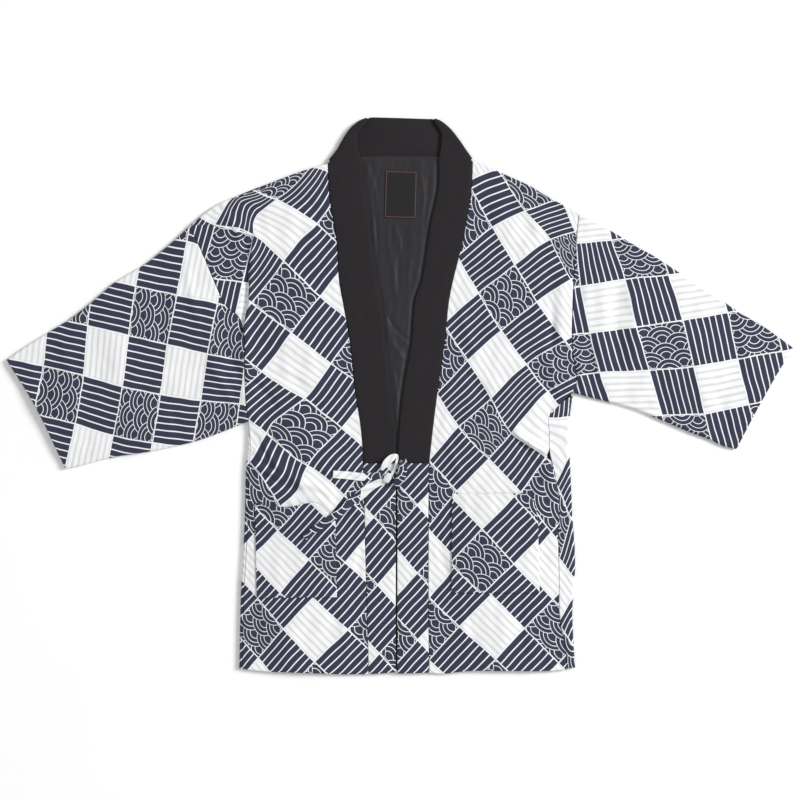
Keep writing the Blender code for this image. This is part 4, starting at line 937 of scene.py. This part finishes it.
def close_tube(name, outer, inner, place, materials):
    """Join the outer and inner rings of a tube, with a rounded rim at each open end."""
    stations, around = outer.shape[:2]
    rims = []
    for end, near in ((0, 1), (-1, -2)):
        centre, spread = (outer[end] + inner[end]) / 2, (outer[end] - inner[end]) / 2
        inwards = unit(outer[near] - outer[end]) * RIM
        rims += [centre + inwards * (1 - math.cos(turn)) + spread * math.sin(turn) for turn in RIM_TURNS]
        for layer in (outer, inner):
            layer[end] += unit(layer[near] - layer[end]) * RIM
    points = np.concatenate([outer.reshape(-1, 3), inner.reshape(-1, 3)] + rims)
    this = np.arange(around)
    following = (this + 1) % around
    faces, corners, outside = [], [], []

    def add(one, other, place_one, place_other, shown):
        """Faces between two rings, with the print's places at their corners."""
        faces.append(np.stack([one, one[following], other[following], other], axis=-1))
        corners.append(np.stack([place_one[:-1], place_one[1:], place_other[1:], place_other[:-1]], axis=1))
        outside.append(np.full(around, shown))

    count = stations * around
    rows = np.arange(count).reshape(stations, around)
    for k in range(stations - 1):
        add(rows[k], rows[k + 1], place[k], place[k + 1], True)
        add(rows[k + 1] + count, rows[k] + count, place[k + 1], place[k], False)
    rim_rows = np.arange(2 * count, len(points)).reshape(2, len(RIM_TURNS), around)
    for end, direction in ((0, -1), (-1, 1)):
        loops = [rows[end], *rim_rows[end], rows[end] + count]
        for pair in zip(loops[:-1], loops[1:]):
            add(*pair[::direction], place[end], place[end], True)
    return make_object(name, points, np.concatenate(faces), {"Print": np.concatenate(corners)},
                       np.concatenate(outside), materials)


def back_side(half):
    """One side of the back: the line that it turns up from, which way is out, and how far the
    cloth goes on from there, row by row."""
    outline, _, flap = side_lines(half)
    out = np.sign(outline[0, 0])
    turn = math.pi * BACK_BEND
    reach = np.where(flap >= EDGE_RADIUS, turn + flap - EDGE_RADIUS, turn * flap / EDGE_RADIUS)
    axis = outline - (out * EDGE_RADIUS, 0)
    return (np.vstack([axis[:-1], smooth_line(half["armhole"], ARM_ROWS)]), out,
            np.concatenate([reach[:-1], np.zeros(ARM_ROWS + 1)]))


def make_back(cloth, lining):
    """The back, flat on the surface, whose sides turn up and over to the side seams."""
    left, right = HALVES["left"], HALVES["right"]
    sides = [back_side(half) for half in (left, right)]
    first, last = sides[0][0], sides[1][0]
    end = np.vstack([smooth_line(left["shoulder"], SHOULDER_COLUMNS)[:-1],
                     left["neck"] + [NECK_MIDDLE] + right["neck"][::-1],
                     smooth_line(right["shoulder"], SHOULDER_COLUMNS)[-2::-1]])
    share = np.linspace(0, 1, len(end))[:, None]
    start = first[0] * (1 - share) + last[0] * share + share * (1 - share) * (0, HEM_BOW)
    flat = coons(first, last, start, end)
    flat[-1, :, 1] -= SEAM_BACK
    flat = refine(flat, FINE_SMALL)
    rows, columns = flat.shape[:2]
    middle = np.zeros((rows, columns + 2 * WRAP_CELLS, 3))
    normal = np.zeros_like(middle) + UP
    opened = np.zeros(middle.shape[:2] + (2,))
    for _, out, reach in sides:
        reach = denser(reach, FINE_SMALL)
        tuck = np.maximum(WRAP_LEAST - reach, 0.0)
        column = 0 if out < 0 else columns - 1
        axis_x, y = flat[:, column].T.copy()
        for k in range(FINE_SMALL):
            flat[:, column - k * int(out), 0] -= out * tuck * (1 - k / FINE_SMALL)
        for k in range(WRAP_CELLS):
            c = WRAP_CELLS - 1 - k if out < 0 else k - WRAP_CELLS
            s = -tuck + (reach + tuck) * (k + 1) / WRAP_CELLS
            if k == WRAP_CELLS - 1:
                s = s - SEAM_BACK
            angle = np.clip(s / BACK_BEND, 0.0, math.pi)
            beyond = np.maximum(s - math.pi * BACK_BEND, 0.0)
            x = axis_x + out * (np.minimum(s, 0.0) + BACK_BEND * np.sin(angle) - beyond)
            rise = (lift(x, y) - EDGE_LIFT) * np.clip(beyond / WRAP_EASE, 0, 1)
            z = BACK_WALL / 2 + BACK_BEND * (1 - np.cos(angle)) + rise
            middle[:, c] = np.stack([x, y, z], axis=1)
            normal[:, c] = np.stack([-out * np.sin(angle), 0 * y, np.cos(angle)], axis=1)
            top = axis_x + out * ((2 + math.pi) * BACK_BEND - s)
            opened[:, c] = np.stack([top, y], axis=1)
    middle[:, WRAP_CELLS:-WRAP_CELLS] = with_height(flat, BACK_WALL / 2)
    opened[:, WRAP_CELLS:-WRAP_CELLS] = flat
    place = print_at("back", opened, middle[..., :2])
    turned = slice(0, WRAP_CELLS)
    place[:, turned] = print_at("front_left", opened[:, turned] + (2 * BACK_BEND, 0), middle[:, turned, :2])
    return sheet("back", middle, normal, BACK_WALL, [cloth, lining], place, rim=BACK_RIM, outer=-1,
                 lined_end=True)


def rung(seam, free, height):
    """A straight line across the collar, from its seam to its free edge."""
    across = np.linspace(0, 1, COLLAR_ACROSS + 1)[:, None]
    return with_height((1 - across) * seam + across * free, height)


def corner_rungs(half):
    """The collar round one corner of the neck: fan, fold over, and on towards the middle."""
    fold = smooth_line(half["fold"], COLLAR_ACROSS)
    chord = unit(fold[-1] - fold[0])
    out = np.array([-chord[1], chord[0]]) * (1 if chord[0] > 0 else -1)
    bend = (COLLAR_HIGH - COLLAR_LOW) / 2
    axis = fold - out * (bend + COLLAR_WALL / 2)
    outwards = np.append(out, 0.0)
    rungs = [(rung(seam, free, COLLAR_HIGH), UP) for seam, free in zip(half["fan_seam"], half["fan_free"])]
    for k in range(CORNER_STEPS + 1):
        angle = math.pi * k / CORNER_STEPS
        line = with_height(axis, (COLLAR_HIGH + COLLAR_LOW) / 2 + bend * math.cos(angle))
        rungs.append((line + outwards * bend * math.sin(angle),
                      outwards * math.sin(angle) + UP * math.cos(angle)))
    for (x, y), free in zip(half["neck"][1:], half["under_free"]):
        rungs.append((rung((x, y + SEAM_BACK), free, COLLAR_LOW), -UP))
    return rungs


def front_rungs(half):
    """The collar along one front, from its lower end to the neck."""
    seam, free = (denser(line, FINE_SMALL)
                  for line in (seam_line(half)[1], smooth_line(half["inner"], COLLAR_ROWS)))
    return [(rung(*ends, COLLAR_HIGH), UP) for ends in zip(seam, free)]


def make_collar(cloth):
    """One black band: up a front, folded under at the neck's corner, and down the other front."""
    x, y = NECK_MIDDLE
    middle = (rung((x, y + SEAM_BACK), COLLAR_TOP_MIDDLE, COLLAR_LOW), -UP)
    left, right = HALVES["left"], HALVES["right"]
    rungs = (front_rungs(left) + corner_rungs(left) + [middle]
             + corner_rungs(right)[::-1] + front_rungs(right)[::-1])
    lines, normals = [rungs[0][0]], [rungs[0][1]]
    for (line, normal), (next_line, next_normal) in zip(rungs[:-1], rungs[1:]):
        steps = max(1, int(np.linalg.norm(next_line - line, axis=1).max() / COLLAR_STEP))
        for k in range(1, steps + 1):
            t = k / steps
            lines.append(line * (1 - t) + next_line * t)
            normals.append(unit(normal * (1 - t) + next_normal * t))
    points = pull_in(np.array(lines), SEAM_BACK)
    normals = np.repeat(np.array(normals)[:, None], COLLAR_ACROSS + 1, axis=1)
    x, y, up = points[..., 0], points[..., 1], normals[..., 2]
    flatness = 1 - np.linspace(-1, 1, COLLAR_ACROSS + 1) ** 4
    crown = flatness * (COLLAR_CROWN + ripples(x, y, COLLAR_RIPPLES)) * np.clip(up, 0, 1)
    swell = NECK_SWELL * np.clip(1 - (x / NECK_SWELL_HALF) ** 2, 0, 1) ** NECK_FULLNESS * flatness ** 2
    crown = crown - swell * np.clip(-up, 0, 1) ** NECK_FOCUS
    points = points + normals * crown[..., None]
    return sheet("collar", points, normals, COLLAR_WALL, [cloth], points[..., :2] / CELL, rim=COLLAR_RIM)


def make_lining(lining):
    """The back's lining, which shows inside the neck and ends a little under the collar."""
    past = NECK_MIDDLE[1] + LINING_PAST
    first, last = (smooth_line([(x + out * LINING_TUCK, y) for x, y in HALVES[side]["inner"]]
                               + [(out * LINING_HALF, past - LINING_DROP)], LINING_ROWS)
                   for side, out in (("left", -1), ("right", 1)))
    start = smooth_line([first[0], last[0]], LINING_COLUMNS)
    end = smooth_line([first[-1], (0, past), last[-1]], LINING_COLUMNS)
    flat = refine(coons(first, last, start, end), LINING_FINE)
    x, y = flat[..., 0], flat[..., 1]
    collar_edges = [half["inner"] for half in HALVES.values()]
    shown = soft_step((distance_to(x, y, collar_edges) - LINING_FREE) / LINING_EASE)
    inside = (side_of(x, y, collar_edges[0]) > 0) & (side_of(x, y, collar_edges[1]) < 0)
    crinkle = sum(rise * ripple(x * along_x, y * along_y, size)
                  for rise, along_x, along_y, size in LINING_RIPPLES)
    crinkle = np.maximum(LINING_SWELL + crinkle + LINING_GAIN * folds_of(LINING_CREASES, x, y), 0.0)
    aside = np.abs(x - LABEL_CENTRE[0]) - LABEL_SIZE[0] / 2
    beyond = np.abs(y - LABEL_CENTRE[1]) - LABEL_SIZE[1] / 2
    bed = 1 - np.clip(np.maximum(aside, beyond) / LABEL_EASE, 0, 1)
    crinkle = crinkle * (1 - bed) + LABEL_BED * bed
    level = np.clip((y - NECK_MIDDLE[1]) / LINING_LEVEL + 1, 0, 1)
    rise = np.where(inside, crinkle * shown, 0.0) * (1 - level) + LINING_STEP * level
    middle = with_height(flat, LINING_UNDER + LINING_WALL / 2 + rise)
    return sheet("back_lining", middle, upright(flat), LINING_WALL, [lining], flat / CELL, rim=LINING_RIM)


def make_label(cloth):
    """A plain woven label sewn inside the neck."""
    half_w, half_h = LABEL_SIZE[0] / 2, LABEL_SIZE[1] / 2
    u, v = np.meshgrid(np.linspace(-half_w, half_w, LABEL_CELLS[0] + 1),
                       np.linspace(-half_h, half_h, LABEL_CELLS[1] + 1))
    x, y = placed(u, v, LABEL_CENTRE, LABEL_TURN)
    uneven = LABEL_RIPPLE * (1 + ripple(x, y, LABEL_RIPPLE_SIZE))
    middle = LINING_UNDER + LINING_WALL + LABEL_BED + GAP + LABEL_WALL / 2 + uneven
    points = np.stack([x, y, middle], axis=2)
    return sheet("label", points, upright(points), LABEL_WALL, [cloth], np.stack([u, v], axis=2),
                 rim=LABEL_RIM)


def lying_height(x, y):
    """Height of whatever lies on top under a tie: band, front or pocket."""
    height = np.where(x > BAND_EDGE, BAND_UNDER["left"] + BAND_WALL + BAND_SWELL, front_top(x, y))
    pocket = (x > POCKET_EDGES[0]) & (x < POCKET_EDGES[1]) & (y < POCKET_MOUTH)
    return np.where(pocket, height + GAP + POCKET_WALL + POCKET_BULGE, height)


def ribbon(name, middle, widths, cells, crumple, cloth):
    """A flat ribbon along a line in space, level across, with its own varying width."""
    run = np.gradient(middle, axis=0)
    aside = unit(np.cross(UP, run))
    for k in range(1, len(aside)):
        if np.dot(aside[k], aside[k - 1]) < 0:
            aside[k] = -aside[k]
    share = np.linspace(-0.5, 0.5, cells + 1)
    s, w = np.broadcast_arrays(run_along(middle)[:, None], share * widths[:, None])
    normal = unit(np.cross(run, aside))
    if normal[0, 2] < 0:
        normal = -normal
    wave = sum(part * np.sin(s / along + w / across + phase) for part, along, across, phase in TIE_WAVES)
    wave = crumple * wave * (1 - (2 * share) ** 2)
    normals = np.repeat(normal[:, None], cells + 1, axis=1)
    points = middle[:, None] + aside[:, None] * w[..., None] + normals * wave[..., None]
    return sheet(name, points, normals, TIE_WALL, [cloth], tie_print(name, s, w), rim=TIE_RIM)


def tie_print(name, s, w):
    """The print on a tie, whose lattice lies at a slant to it. A crossing of the lattice lies on
    the tie's middle line, so far from its start; gather is how much of the cloth's length shows.
    Past the crossing's line the cloth may be folded, so that the print jumps aside."""
    crossing_i, crossing_j, at, slant, gather, jump = TIE_PRINT[name]
    along, turn = (s - at) * gather, math.radians(slant)
    i = (along * math.cos(turn) + w * math.sin(turn)) / CELL + crossing_i
    j = (along * math.sin(turn) - w * math.cos(turn)) / CELL + crossing_j
    return np.stack([i, j + np.where(i > crossing_i, jump, 0.0)], axis=-1)


def make_tail(name, cloth):
    """A tie's free end, lying on the band, the front and the pocket."""
    x, y, widths = smooth_line(TAILS[name], TAIL_STEPS[name]).T
    beside = (-TAIL_BESIDE, 0, TAIL_BESIDE)
    height = np.max([lying_height(x + dx, y + dy) for dx in beside for dy in beside], axis=0)
    window = 2 * TAIL_REACH + 1
    padded = np.pad(height, TAIL_REACH, mode="edge")
    highest = np.max([padded[k:k + len(height)] for k in range(window)], axis=0)
    soft = np.convolve(np.pad(highest, TAIL_REACH, mode="edge"), np.ones(window) / window, "valid")
    middle = np.stack([x, y, soft + 2 * GAP + TIE_WALL / 2], axis=1)
    return ribbon(name, middle, widths, TAIL_CELLS, TAIL_CRUMPLE, cloth)


def make_loop(name, cloth):
    """A loop of the bow: out along the band and back over itself."""
    x, y, height, widths = smooth_line(LOOPS[name], LOOP_STEPS).T
    base = BAND_UNDER["right"] + BAND_WALL + TIE_WALL / 2
    middle = np.stack([x, y, base + height], axis=1)
    return ribbon(name, middle, widths, LOOP_CELLS, LOOP_CRUMPLE, cloth)


def make_knot(cloth):
    """The bow's knot, a soft lump with the creases of the pulled cloth."""
    base = BAND_UNDER["right"] + BAND_WALL + GAP
    k = np.linspace(KNOT_END, math.pi - KNOT_END, KNOT_ROWS)[:, None]
    a = np.linspace(0, 2 * math.pi, KNOT_AROUND, endpoint=False)[None, :]
    creased = 1 + sum(part * np.sin(round_it * a + along * k) for part, round_it, along in KNOT_CREASES)
    size = np.sin(k) ** KNOT_FULLNESS * creased
    x, y = placed(KNOT_SIZE[0] / 2 * size * np.cos(a), -KNOT_SIZE[1] / 2 * np.cos(k), KNOT_CENTRE, KNOT_TURN)
    z = base + KNOT_SIZE[2] / 2 * (1 + size * np.sin(a))
    rings = np.stack([x, y, z], axis=2)
    caps = rings[[0, -1]].mean(axis=1)
    small = (rings[[0, -1]] + caps[:, None]) / 2
    rings = np.concatenate([small[:1], rings, small[1:]])
    points = np.concatenate([rings.reshape(-1, 3), caps])
    index = np.arange(len(points) - 2).reshape(-1, KNOT_AROUND)
    turned = np.roll(index, -1, axis=1)
    quads = np.stack([index[:-1], turned[:-1], turned[1:], index[1:]], axis=-1).reshape(-1, 4)
    one, two, three = (np.roll(index[[0, -1]], -step, axis=1)[:, ::2] for step in range(3))
    cap = np.broadcast_to(index.size + np.arange(2)[:, None], one.shape)
    fans = np.stack([cap, three, two, one], axis=-1)
    faces = np.concatenate([quads, fans[0], fans[1, :, ::-1]])
    place = np.array(KNOT_PRINT) + np.stack([0 * points[:, 0], points[:, 0] / CELL / KNOT_GATHER], axis=1)
    return make_object("tie_knot", points, faces, {"Print": place[faces]}, np.ones(len(faces), bool),
                       [cloth])


# Colours, linear red, green and blue
NAVY = (0.0300, 0.0330, 0.0640)
WHITE = (0.82, 0.825, 0.84)
GREY = (0.60, 0.60, 0.585)
OUTLINE = (0.56, 0.58, 0.64)
BLACK = (0.0118, 0.0092, 0.0116)
CHARCOAL = (0.0170, 0.0152, 0.0185)
LABEL_BLACK = (0.0085, 0.0075, 0.0090)
LABEL_RED = (0.120, 0.056, 0.060)
FLOOR = (1.0, 1.0, 1.0)

# The shaders' common values
SHEEN_ROUGHNESS = 0.5
GLOSS = 0.25

# The print's wave scales, in shares of a square
SCALE_RADIUS = 0.335
SCALE_ROW = 0.18
SCALE_FIRST_ROW = -0.11
SCALE_STEP = 0.345
SCALE_MIDDLE = 0.54
SCALE_RINGS = (0.42, 0.71)

# The print's lines: half the step from stripe to stripe in shares of a square, the rest in mm
STRIPE_HALF_STEP = 1 / 14
LATTICE_LINE = 1.05
STRIPE_LINE = 1.0
RING_LINE = 0.62
OUTER_LINE = 1.1
BLUR = 0.26
GREY_STRIPE = 2.1    # soft grey stripes of the pale squares
GREY_BLUR = 1.1
INNER_AT = 2.6       # thin line inside the edge of a pale square
INNER_LINE = 0.35
INNER_BLUR = 0.3
LABEL_INSET = 1.4    # thin line inside the label's edge
LABEL_LINE = 0.62
LABEL_BLUR = 0.3
LABEL_RIB = 0.55     # from rib to rib of the label's weave
PRINT_THREAD = 0.0075    # the threads' step in squares of the print, and in metres
BLACK_THREAD = 0.0007


class Number:
    """A value inside a finish's shader: arithmetic on it adds the nodes for it."""

    def __init__(self, finish, source):
        self.finish, self.source = finish, source

    def do(self, operation, *others):
        """What an arithmetic node makes of the value and others."""
        node = self.finish.node("Math", operation=operation)
        for slot, value in zip(node.inputs, (self, *others)):
            self.finish.feed(slot, value)
        return Number(self.finish, node.outputs[0])

    def __add__(self, other):
        return self.do("ADD", other)

    def __sub__(self, other):
        return self.do("SUBTRACT", other)

    def __mul__(self, other):
        return self.do("MULTIPLY", other)

    def inverse(self):
        """One minus the value."""
        return self * -1 + 1

    def below(self, edge, blur):
        """1 under an edge and 0 over it, with a soft step between."""
        node = self.finish.node("MapRange", interpolation_type="SMOOTHSTEP")
        for slot, value in (("Value", self), ("From Min", edge - blur), ("From Max", edge + blur),
                            ("To Min", 1.0), ("To Max", 0.0)):
            self.finish.feed(node.inputs[slot], value)
        return Number(self.finish, node.outputs["Result"])


class Finish:
    """A matt material, with the nodes that its colour and its bump are made of."""

    def __init__(self, name, roughness, sheen):
        self.material = bpy.data.materials.new(name)
        self.material.use_nodes = True
        self.tree = self.material.node_tree
        self.shader = self.tree.nodes["Principled BSDF"]
        for slot, value in (("Roughness", roughness), ("Sheen Weight", sheen),
                            ("Sheen Roughness", SHEEN_ROUGHNESS), ("Specular IOR Level", GLOSS)):
            self.shader.inputs[slot].default_value = value
        self.spot = self.node("TexCoord").outputs["Object"]

    def node(self, kind, **settings):
        """A new node with its settings."""
        node = self.tree.nodes.new("ShaderNode" + kind)
        for key, value in settings.items():
            setattr(node, key, value)
        return node

    def feed(self, slot, value):
        """Give a node's input a number, a colour, or what another node puts out."""
        if isinstance(value, Number):
            value = value.source
        if isinstance(value, bpy.types.NodeSocket):
            self.tree.links.new(value, slot)
        elif slot.type == "RGBA":
            slot.default_value = (*value, 1.0)
        else:
            slot.default_value = value

    def mix(self, share, one, other):
        """A colour between two others."""
        node = self.node("Mix", data_type="RGBA")
        for slot, value in ((0, share), (6, one), (7, other)):
            self.feed(node.inputs[slot], value)
        return node.outputs[2]

    def noise(self, scale, detail=2.0, rough=0.5, vector=None):
        """Soft noise between 0 and 1 over a vector, or over the piece's own place in metres."""
        node = self.node("TexNoise")
        for slot, value in (("Scale", scale), ("Detail", detail), ("Roughness", rough),
                            ("Vector", vector or self.spot)):
            self.feed(node.inputs[slot], value)
        return Number(self, node.outputs[0])

    def separate(self, vector):
        """The x, y and z of a vector."""
        node = self.node("SeparateXYZ")
        self.feed(node.inputs[0], vector)
        return [Number(self, out) for out in node.outputs]

    def map(self, name):
        """The coordinates of a map at the mesh's corners."""
        return self.node("UVMap", uv_map=name).outputs["UV"]

    def weave(self, vector, thread):
        """Plain weave: threads over and under each other."""
        x, y, _ = self.separate(vector)
        step = math.pi / thread
        return (x * step).do("SINE") * (y * step).do("SINE") * 0.5 + 0.5

    def done(self, colour, height=None):
        """The material with its colour, and roughened by a height in millimetres."""
        self.feed(self.shader.inputs["Base Color"], colour)
        if height is not None:
            bump = self.node("Bump")
            for slot, value in (("Strength", 1.0), ("Distance", MM), ("Height", height)):
                self.feed(bump.inputs[slot], value)
            self.feed(self.shader.inputs["Normal"], bump.outputs["Normal"])
        return self.material


def shade(colour, factor):
    """A colour made darker or lighter."""
    return tuple(part * factor for part in colour)


def wave_scales(p, q, turned):
    """White lines of overlapping wave scales, in rows across a square."""
    u, v = p.do("FRACT"), q.do("FRACT")
    v = v + turned * (v * -2 + 1)
    row = ((v - (SCALE_RADIUS + SCALE_FIRST_ROW)) * (1 / SCALE_ROW)).do("CEIL")
    rise = v - SCALE_FIRST_ROW - row * SCALE_ROW
    aside = (u - SCALE_MIDDLE - row.do("FLOORED_MODULO", 2.0) * SCALE_STEP).do("PINGPONG", SCALE_STEP)
    other = aside * -1 + SCALE_STEP
    reach = []
    for across, down in ((aside, 0.0), (other, SCALE_ROW), (aside, 2 * SCALE_ROW)):
        up = rise - down
        reach.append((across * across + up * up).do("SQRT"))
    in_first, in_second = (reach[k].do("LESS_THAN", SCALE_RADIUS) for k in (0, 1))
    lower = in_second * reach[1] + in_second.inverse() * reach[2]
    radius = in_first * reach[0] + in_first.inverse() * lower
    small, large = ((radius - share * SCALE_RADIUS).do("ABSOLUTE") for share in SCALE_RINGS)
    ring = small.do("MINIMUM", large) * CELL
    rim = (radius * -1 + SCALE_RADIUS) * CELL
    return ring.below(RING_LINE, BLUR).do("MAXIMUM", rim.below(OUTER_LINE, BLUR))


def print_material():
    """Navy and white cotton: striped squares, squares of soft grey stripes, and wave scales."""
    cloth = Finish("print_cloth", roughness=0.82, sheen=0.12)
    p, q, _ = cloth.separate(cloth.map("Print"))
    strip_p, strip_q, _ = cloth.separate(cloth.map("PrintStrip"))
    on_strip = cloth.separate(cloth.map("Strip"))[0].do("GREATER_THAN", 0.0)
    p, q = p + (strip_p - p) * on_strip, q + (strip_q - q) * on_strip
    i, j = p.do("FLOOR"), q.do("FLOOR")
    odd_i, odd_j = i.do("FLOORED_MODULO", 2.0), j.do("FLOORED_MODULO", 2.0)
    pale_square = odd_i * odd_j.inverse()
    scale_square = odd_i.inverse() * odd_j
    striped_square = (pale_square + scale_square).inverse()
    to_edge = p.do("PINGPONG", 0.5).do("MINIMUM", q.do("PINGPONG", 0.5)) * CELL
    to_stripe, to_grey = (value.do("PINGPONG", STRIPE_HALF_STEP) * CELL for value in (p, q))
    lattice = to_edge.below(LATTICE_LINE, BLUR)
    stripe = to_stripe.below(STRIPE_LINE, BLUR)
    turned = (i + j).do("FLOORED_MODULO", 4.0).do("GREATER_THAN", 2.0)
    scales = wave_scales(p, q, turned)
    lines = lattice.do("MAXIMUM", striped_square * stripe).do("MAXIMUM", scale_square * scales)
    white = lines.do("MAXIMUM", pale_square)
    grey = to_grey.below(GREY_STRIPE, GREY_BLUR) * pale_square * lattice.inverse()
    inner = (to_edge - INNER_AT).do("ABSOLUTE").below(INNER_LINE, INNER_BLUR) * pale_square

    yarn = cloth.noise(scale=900.0, detail=3.0, rough=0.6)
    cloud = cloth.noise(scale=22.0)
    dark = cloth.mix(yarn, shade(NAVY, 0.72), shade(NAVY, 1.28))
    dark = cloth.mix(cloud * 0.35, dark, shade(NAVY, 0.75))
    pale = cloth.mix(yarn * 0.5, WHITE, shade(WHITE, 0.93))
    pale = cloth.mix(grey * (cloud * 0.5 + 0.55), pale, GREY)
    pale = cloth.mix(inner * 0.7, pale, OUTLINE)
    threads = cloth.weave(cloth.map("Print"), PRINT_THREAD)
    crumple = cloth.noise(scale=75.0, detail=3.0, rough=0.55)
    return cloth.done(cloth.mix(white, dark, pale), threads * 0.06 + yarn * 0.05 + crumple * 0.55)


def black_material():
    """Plain black cloth with a weave and a little unevenness."""
    cloth = Finish("black_cloth", roughness=0.78, sheen=0.05)
    yarn = cloth.noise(scale=1100.0, detail=3.0, rough=0.6)
    cloud = cloth.noise(scale=18.0, detail=3.0, rough=0.55)
    colour = cloth.mix(yarn * 0.6 + cloud * 0.4, shade(BLACK, 0.75), shade(BLACK, 1.25))
    threads = cloth.weave(cloth.spot, BLACK_THREAD)
    crumple = cloth.noise(scale=60.0, detail=3.0)
    return cloth.done(colour, threads * 0.07 + yarn * 0.05 + crumple * 0.45)


def lining_material():
    """Charcoal lining with a slight sheen and fine upright crinkles. Its colour is darker and lighter along
    the crinkles as painted shade, with the yarn's own uneven tone.
    """
    cloth = Finish("lining_cloth", roughness=0.56, sheen=0.12)
    stretch = cloth.node("Mapping")
    stretch.inputs["Scale"].default_value = (1.0, 0.16, 1.0)
    cloth.feed(stretch.inputs["Vector"], cloth.spot)
    fold = cloth.noise(scale=170.0, detail=3.0, rough=0.55, vector=stretch.outputs[0])
    broad = cloth.noise(scale=48.0, vector=stretch.outputs[0])
    yarn = cloth.noise(scale=1200.0)
    # painted shade: the crinkle and broad fold noises darken and lighten the colour, and the yarn adds the
    # cloth's own uneven tone
    share = fold * 0.35 + broad * 0.4 + yarn * 0.25
    colour = cloth.mix(share, shade(CHARCOAL, 0.5), shade(CHARCOAL, 1.5))
    return cloth.done(colour, fold * 0.4 + broad * 0.9 + yarn * 0.05)


def label_material():
    """A black woven label with a thin dull red line inside its edge."""
    cloth = Finish("label_cloth", roughness=0.55, sheen=0.08)
    x, y, _ = cloth.separate(cloth.map("Print"))
    to_side = x.do("ABSOLUTE") * -1 + LABEL_SIZE[0] / 2
    to_end = y.do("ABSOLUTE") * -1 + LABEL_SIZE[1] / 2
    inside = to_side.do("MINIMUM", to_end)
    line = (inside - LABEL_INSET).do("ABSOLUTE").below(LABEL_LINE, LABEL_BLUR)
    ribs = (y * (math.pi / LABEL_RIB)).do("SINE") * 0.5 + 0.5
    yarn = cloth.noise(scale=1300.0)
    ground = cloth.mix(ribs * 0.5 + yarn * 0.5, shade(LABEL_BLACK, 0.6), shade(LABEL_BLACK, 1.5))
    return cloth.done(cloth.mix(line, ground, LABEL_RED), ribs * 0.08 + yarn * 0.05 + line * 0.1)


# The stage, in metres
FLOOR_HALF = 6.0
FLOOR_DROP = 0.0003  # how far the floor lies below the jacket
LIGHTS = {
    # name: place, width, power
    "key": ((6.2, 2.2, 4.4), 2.8, 640.0),
    "fill": ((-2.2, -1.0, 3.2), 2.6, 18.0),
}
DAYLIGHT = 0.54      # strength of the even light from all sides
CAMERA_LENS = 100.0
SENSOR = 36.0
FRAME_WIDTH = VIEW_SIZE * VIEW_STEP * MM
CLOTH_LEVEL = 0.008  # height at which the view's scale holds


def make_floor():
    """The plain pale surface that the jacket lies on."""
    finish = Finish("floor", roughness=0.9, sheen=0.0)
    colour = finish.mix(finish.noise(scale=3.0), shade(FLOOR, 0.90), shade(FLOOR, 0.93))
    mesh = bpy.data.meshes.new("floor")
    corners = ((-1, -1), (1, -1), (1, 1), (-1, 1))
    mesh.from_pydata([(x * FLOOR_HALF, y * FLOOR_HALF, -FLOOR_DROP) for x, y in corners], [], [(0, 1, 2, 3)])
    mesh.materials.append(finish.done(colour))
    floor = add_object("floor", mesh)


def make_light(name, place, width, power):
    """A large soft lamp turned towards the jacket's middle."""
    data = bpy.data.lights.new(name, "AREA")
    data.shape = "SQUARE"
    data.size = width
    data.energy = power
    x, y, z = place
    lamp = add_object(name, data, place)
    lamp.rotation_euler = (math.atan2(math.hypot(x, y), z), 0.0, math.atan2(x, -y))


def make_stage():
    """Floor, light and the camera that looks straight down."""
    make_floor()
    for name, lamp in LIGHTS.items():
        make_light(name, *lamp)
    world = bpy.data.worlds.new("studio")
    world.use_nodes = True
    sky = world.node_tree.nodes["Background"]
    sky.inputs["Color"].default_value = (1.0, 1.0, 1.0, 1.0)
    sky.inputs["Strength"].default_value = DAYLIGHT
    bpy.context.scene.world = world
    bpy.context.scene.view_settings.view_transform = "Standard"
    data = bpy.data.cameras.new("view")
    data.lens = CAMERA_LENS
    data.sensor_width = SENSOR
    x, y = on_cloth([VIEW_SIZE / 2, VIEW_SIZE / 2]) * MM
    height = FRAME_WIDTH / 2 / (SENSOR / 2 / CAMERA_LENS) + CLOTH_LEVEL
    bpy.context.scene.camera = add_object("view", data, (x, y, height))


def make_jacket():
    """Every piece of the jacket."""
    cloth, lining = print_material(), lining_material()
    pieces = {"back": make_back(cloth, lining), "back_lining": make_lining(lining)}
    for side, half in HALVES.items():
        pieces["front_" + side], pieces["pocket_" + side] = make_front(side, half, cloth, lining)
        pieces["band_" + side] = make_band(side, half, cloth, lining)
        pieces["sleeve_" + side] = make_sleeve(side, half, cloth, lining)
    pieces["collar"] = make_collar(black_material())
    pieces["label"] = make_label(label_material())
    pieces["tie_knot"] = make_knot(cloth)
    pieces.update({name: make_loop(name, cloth) for name in LOOPS})
    pieces.update({name: make_tail(name, cloth) for name in TAILS})
    return pieces


make_stage()
make_jacket()
bpy.context.view_layer.update()
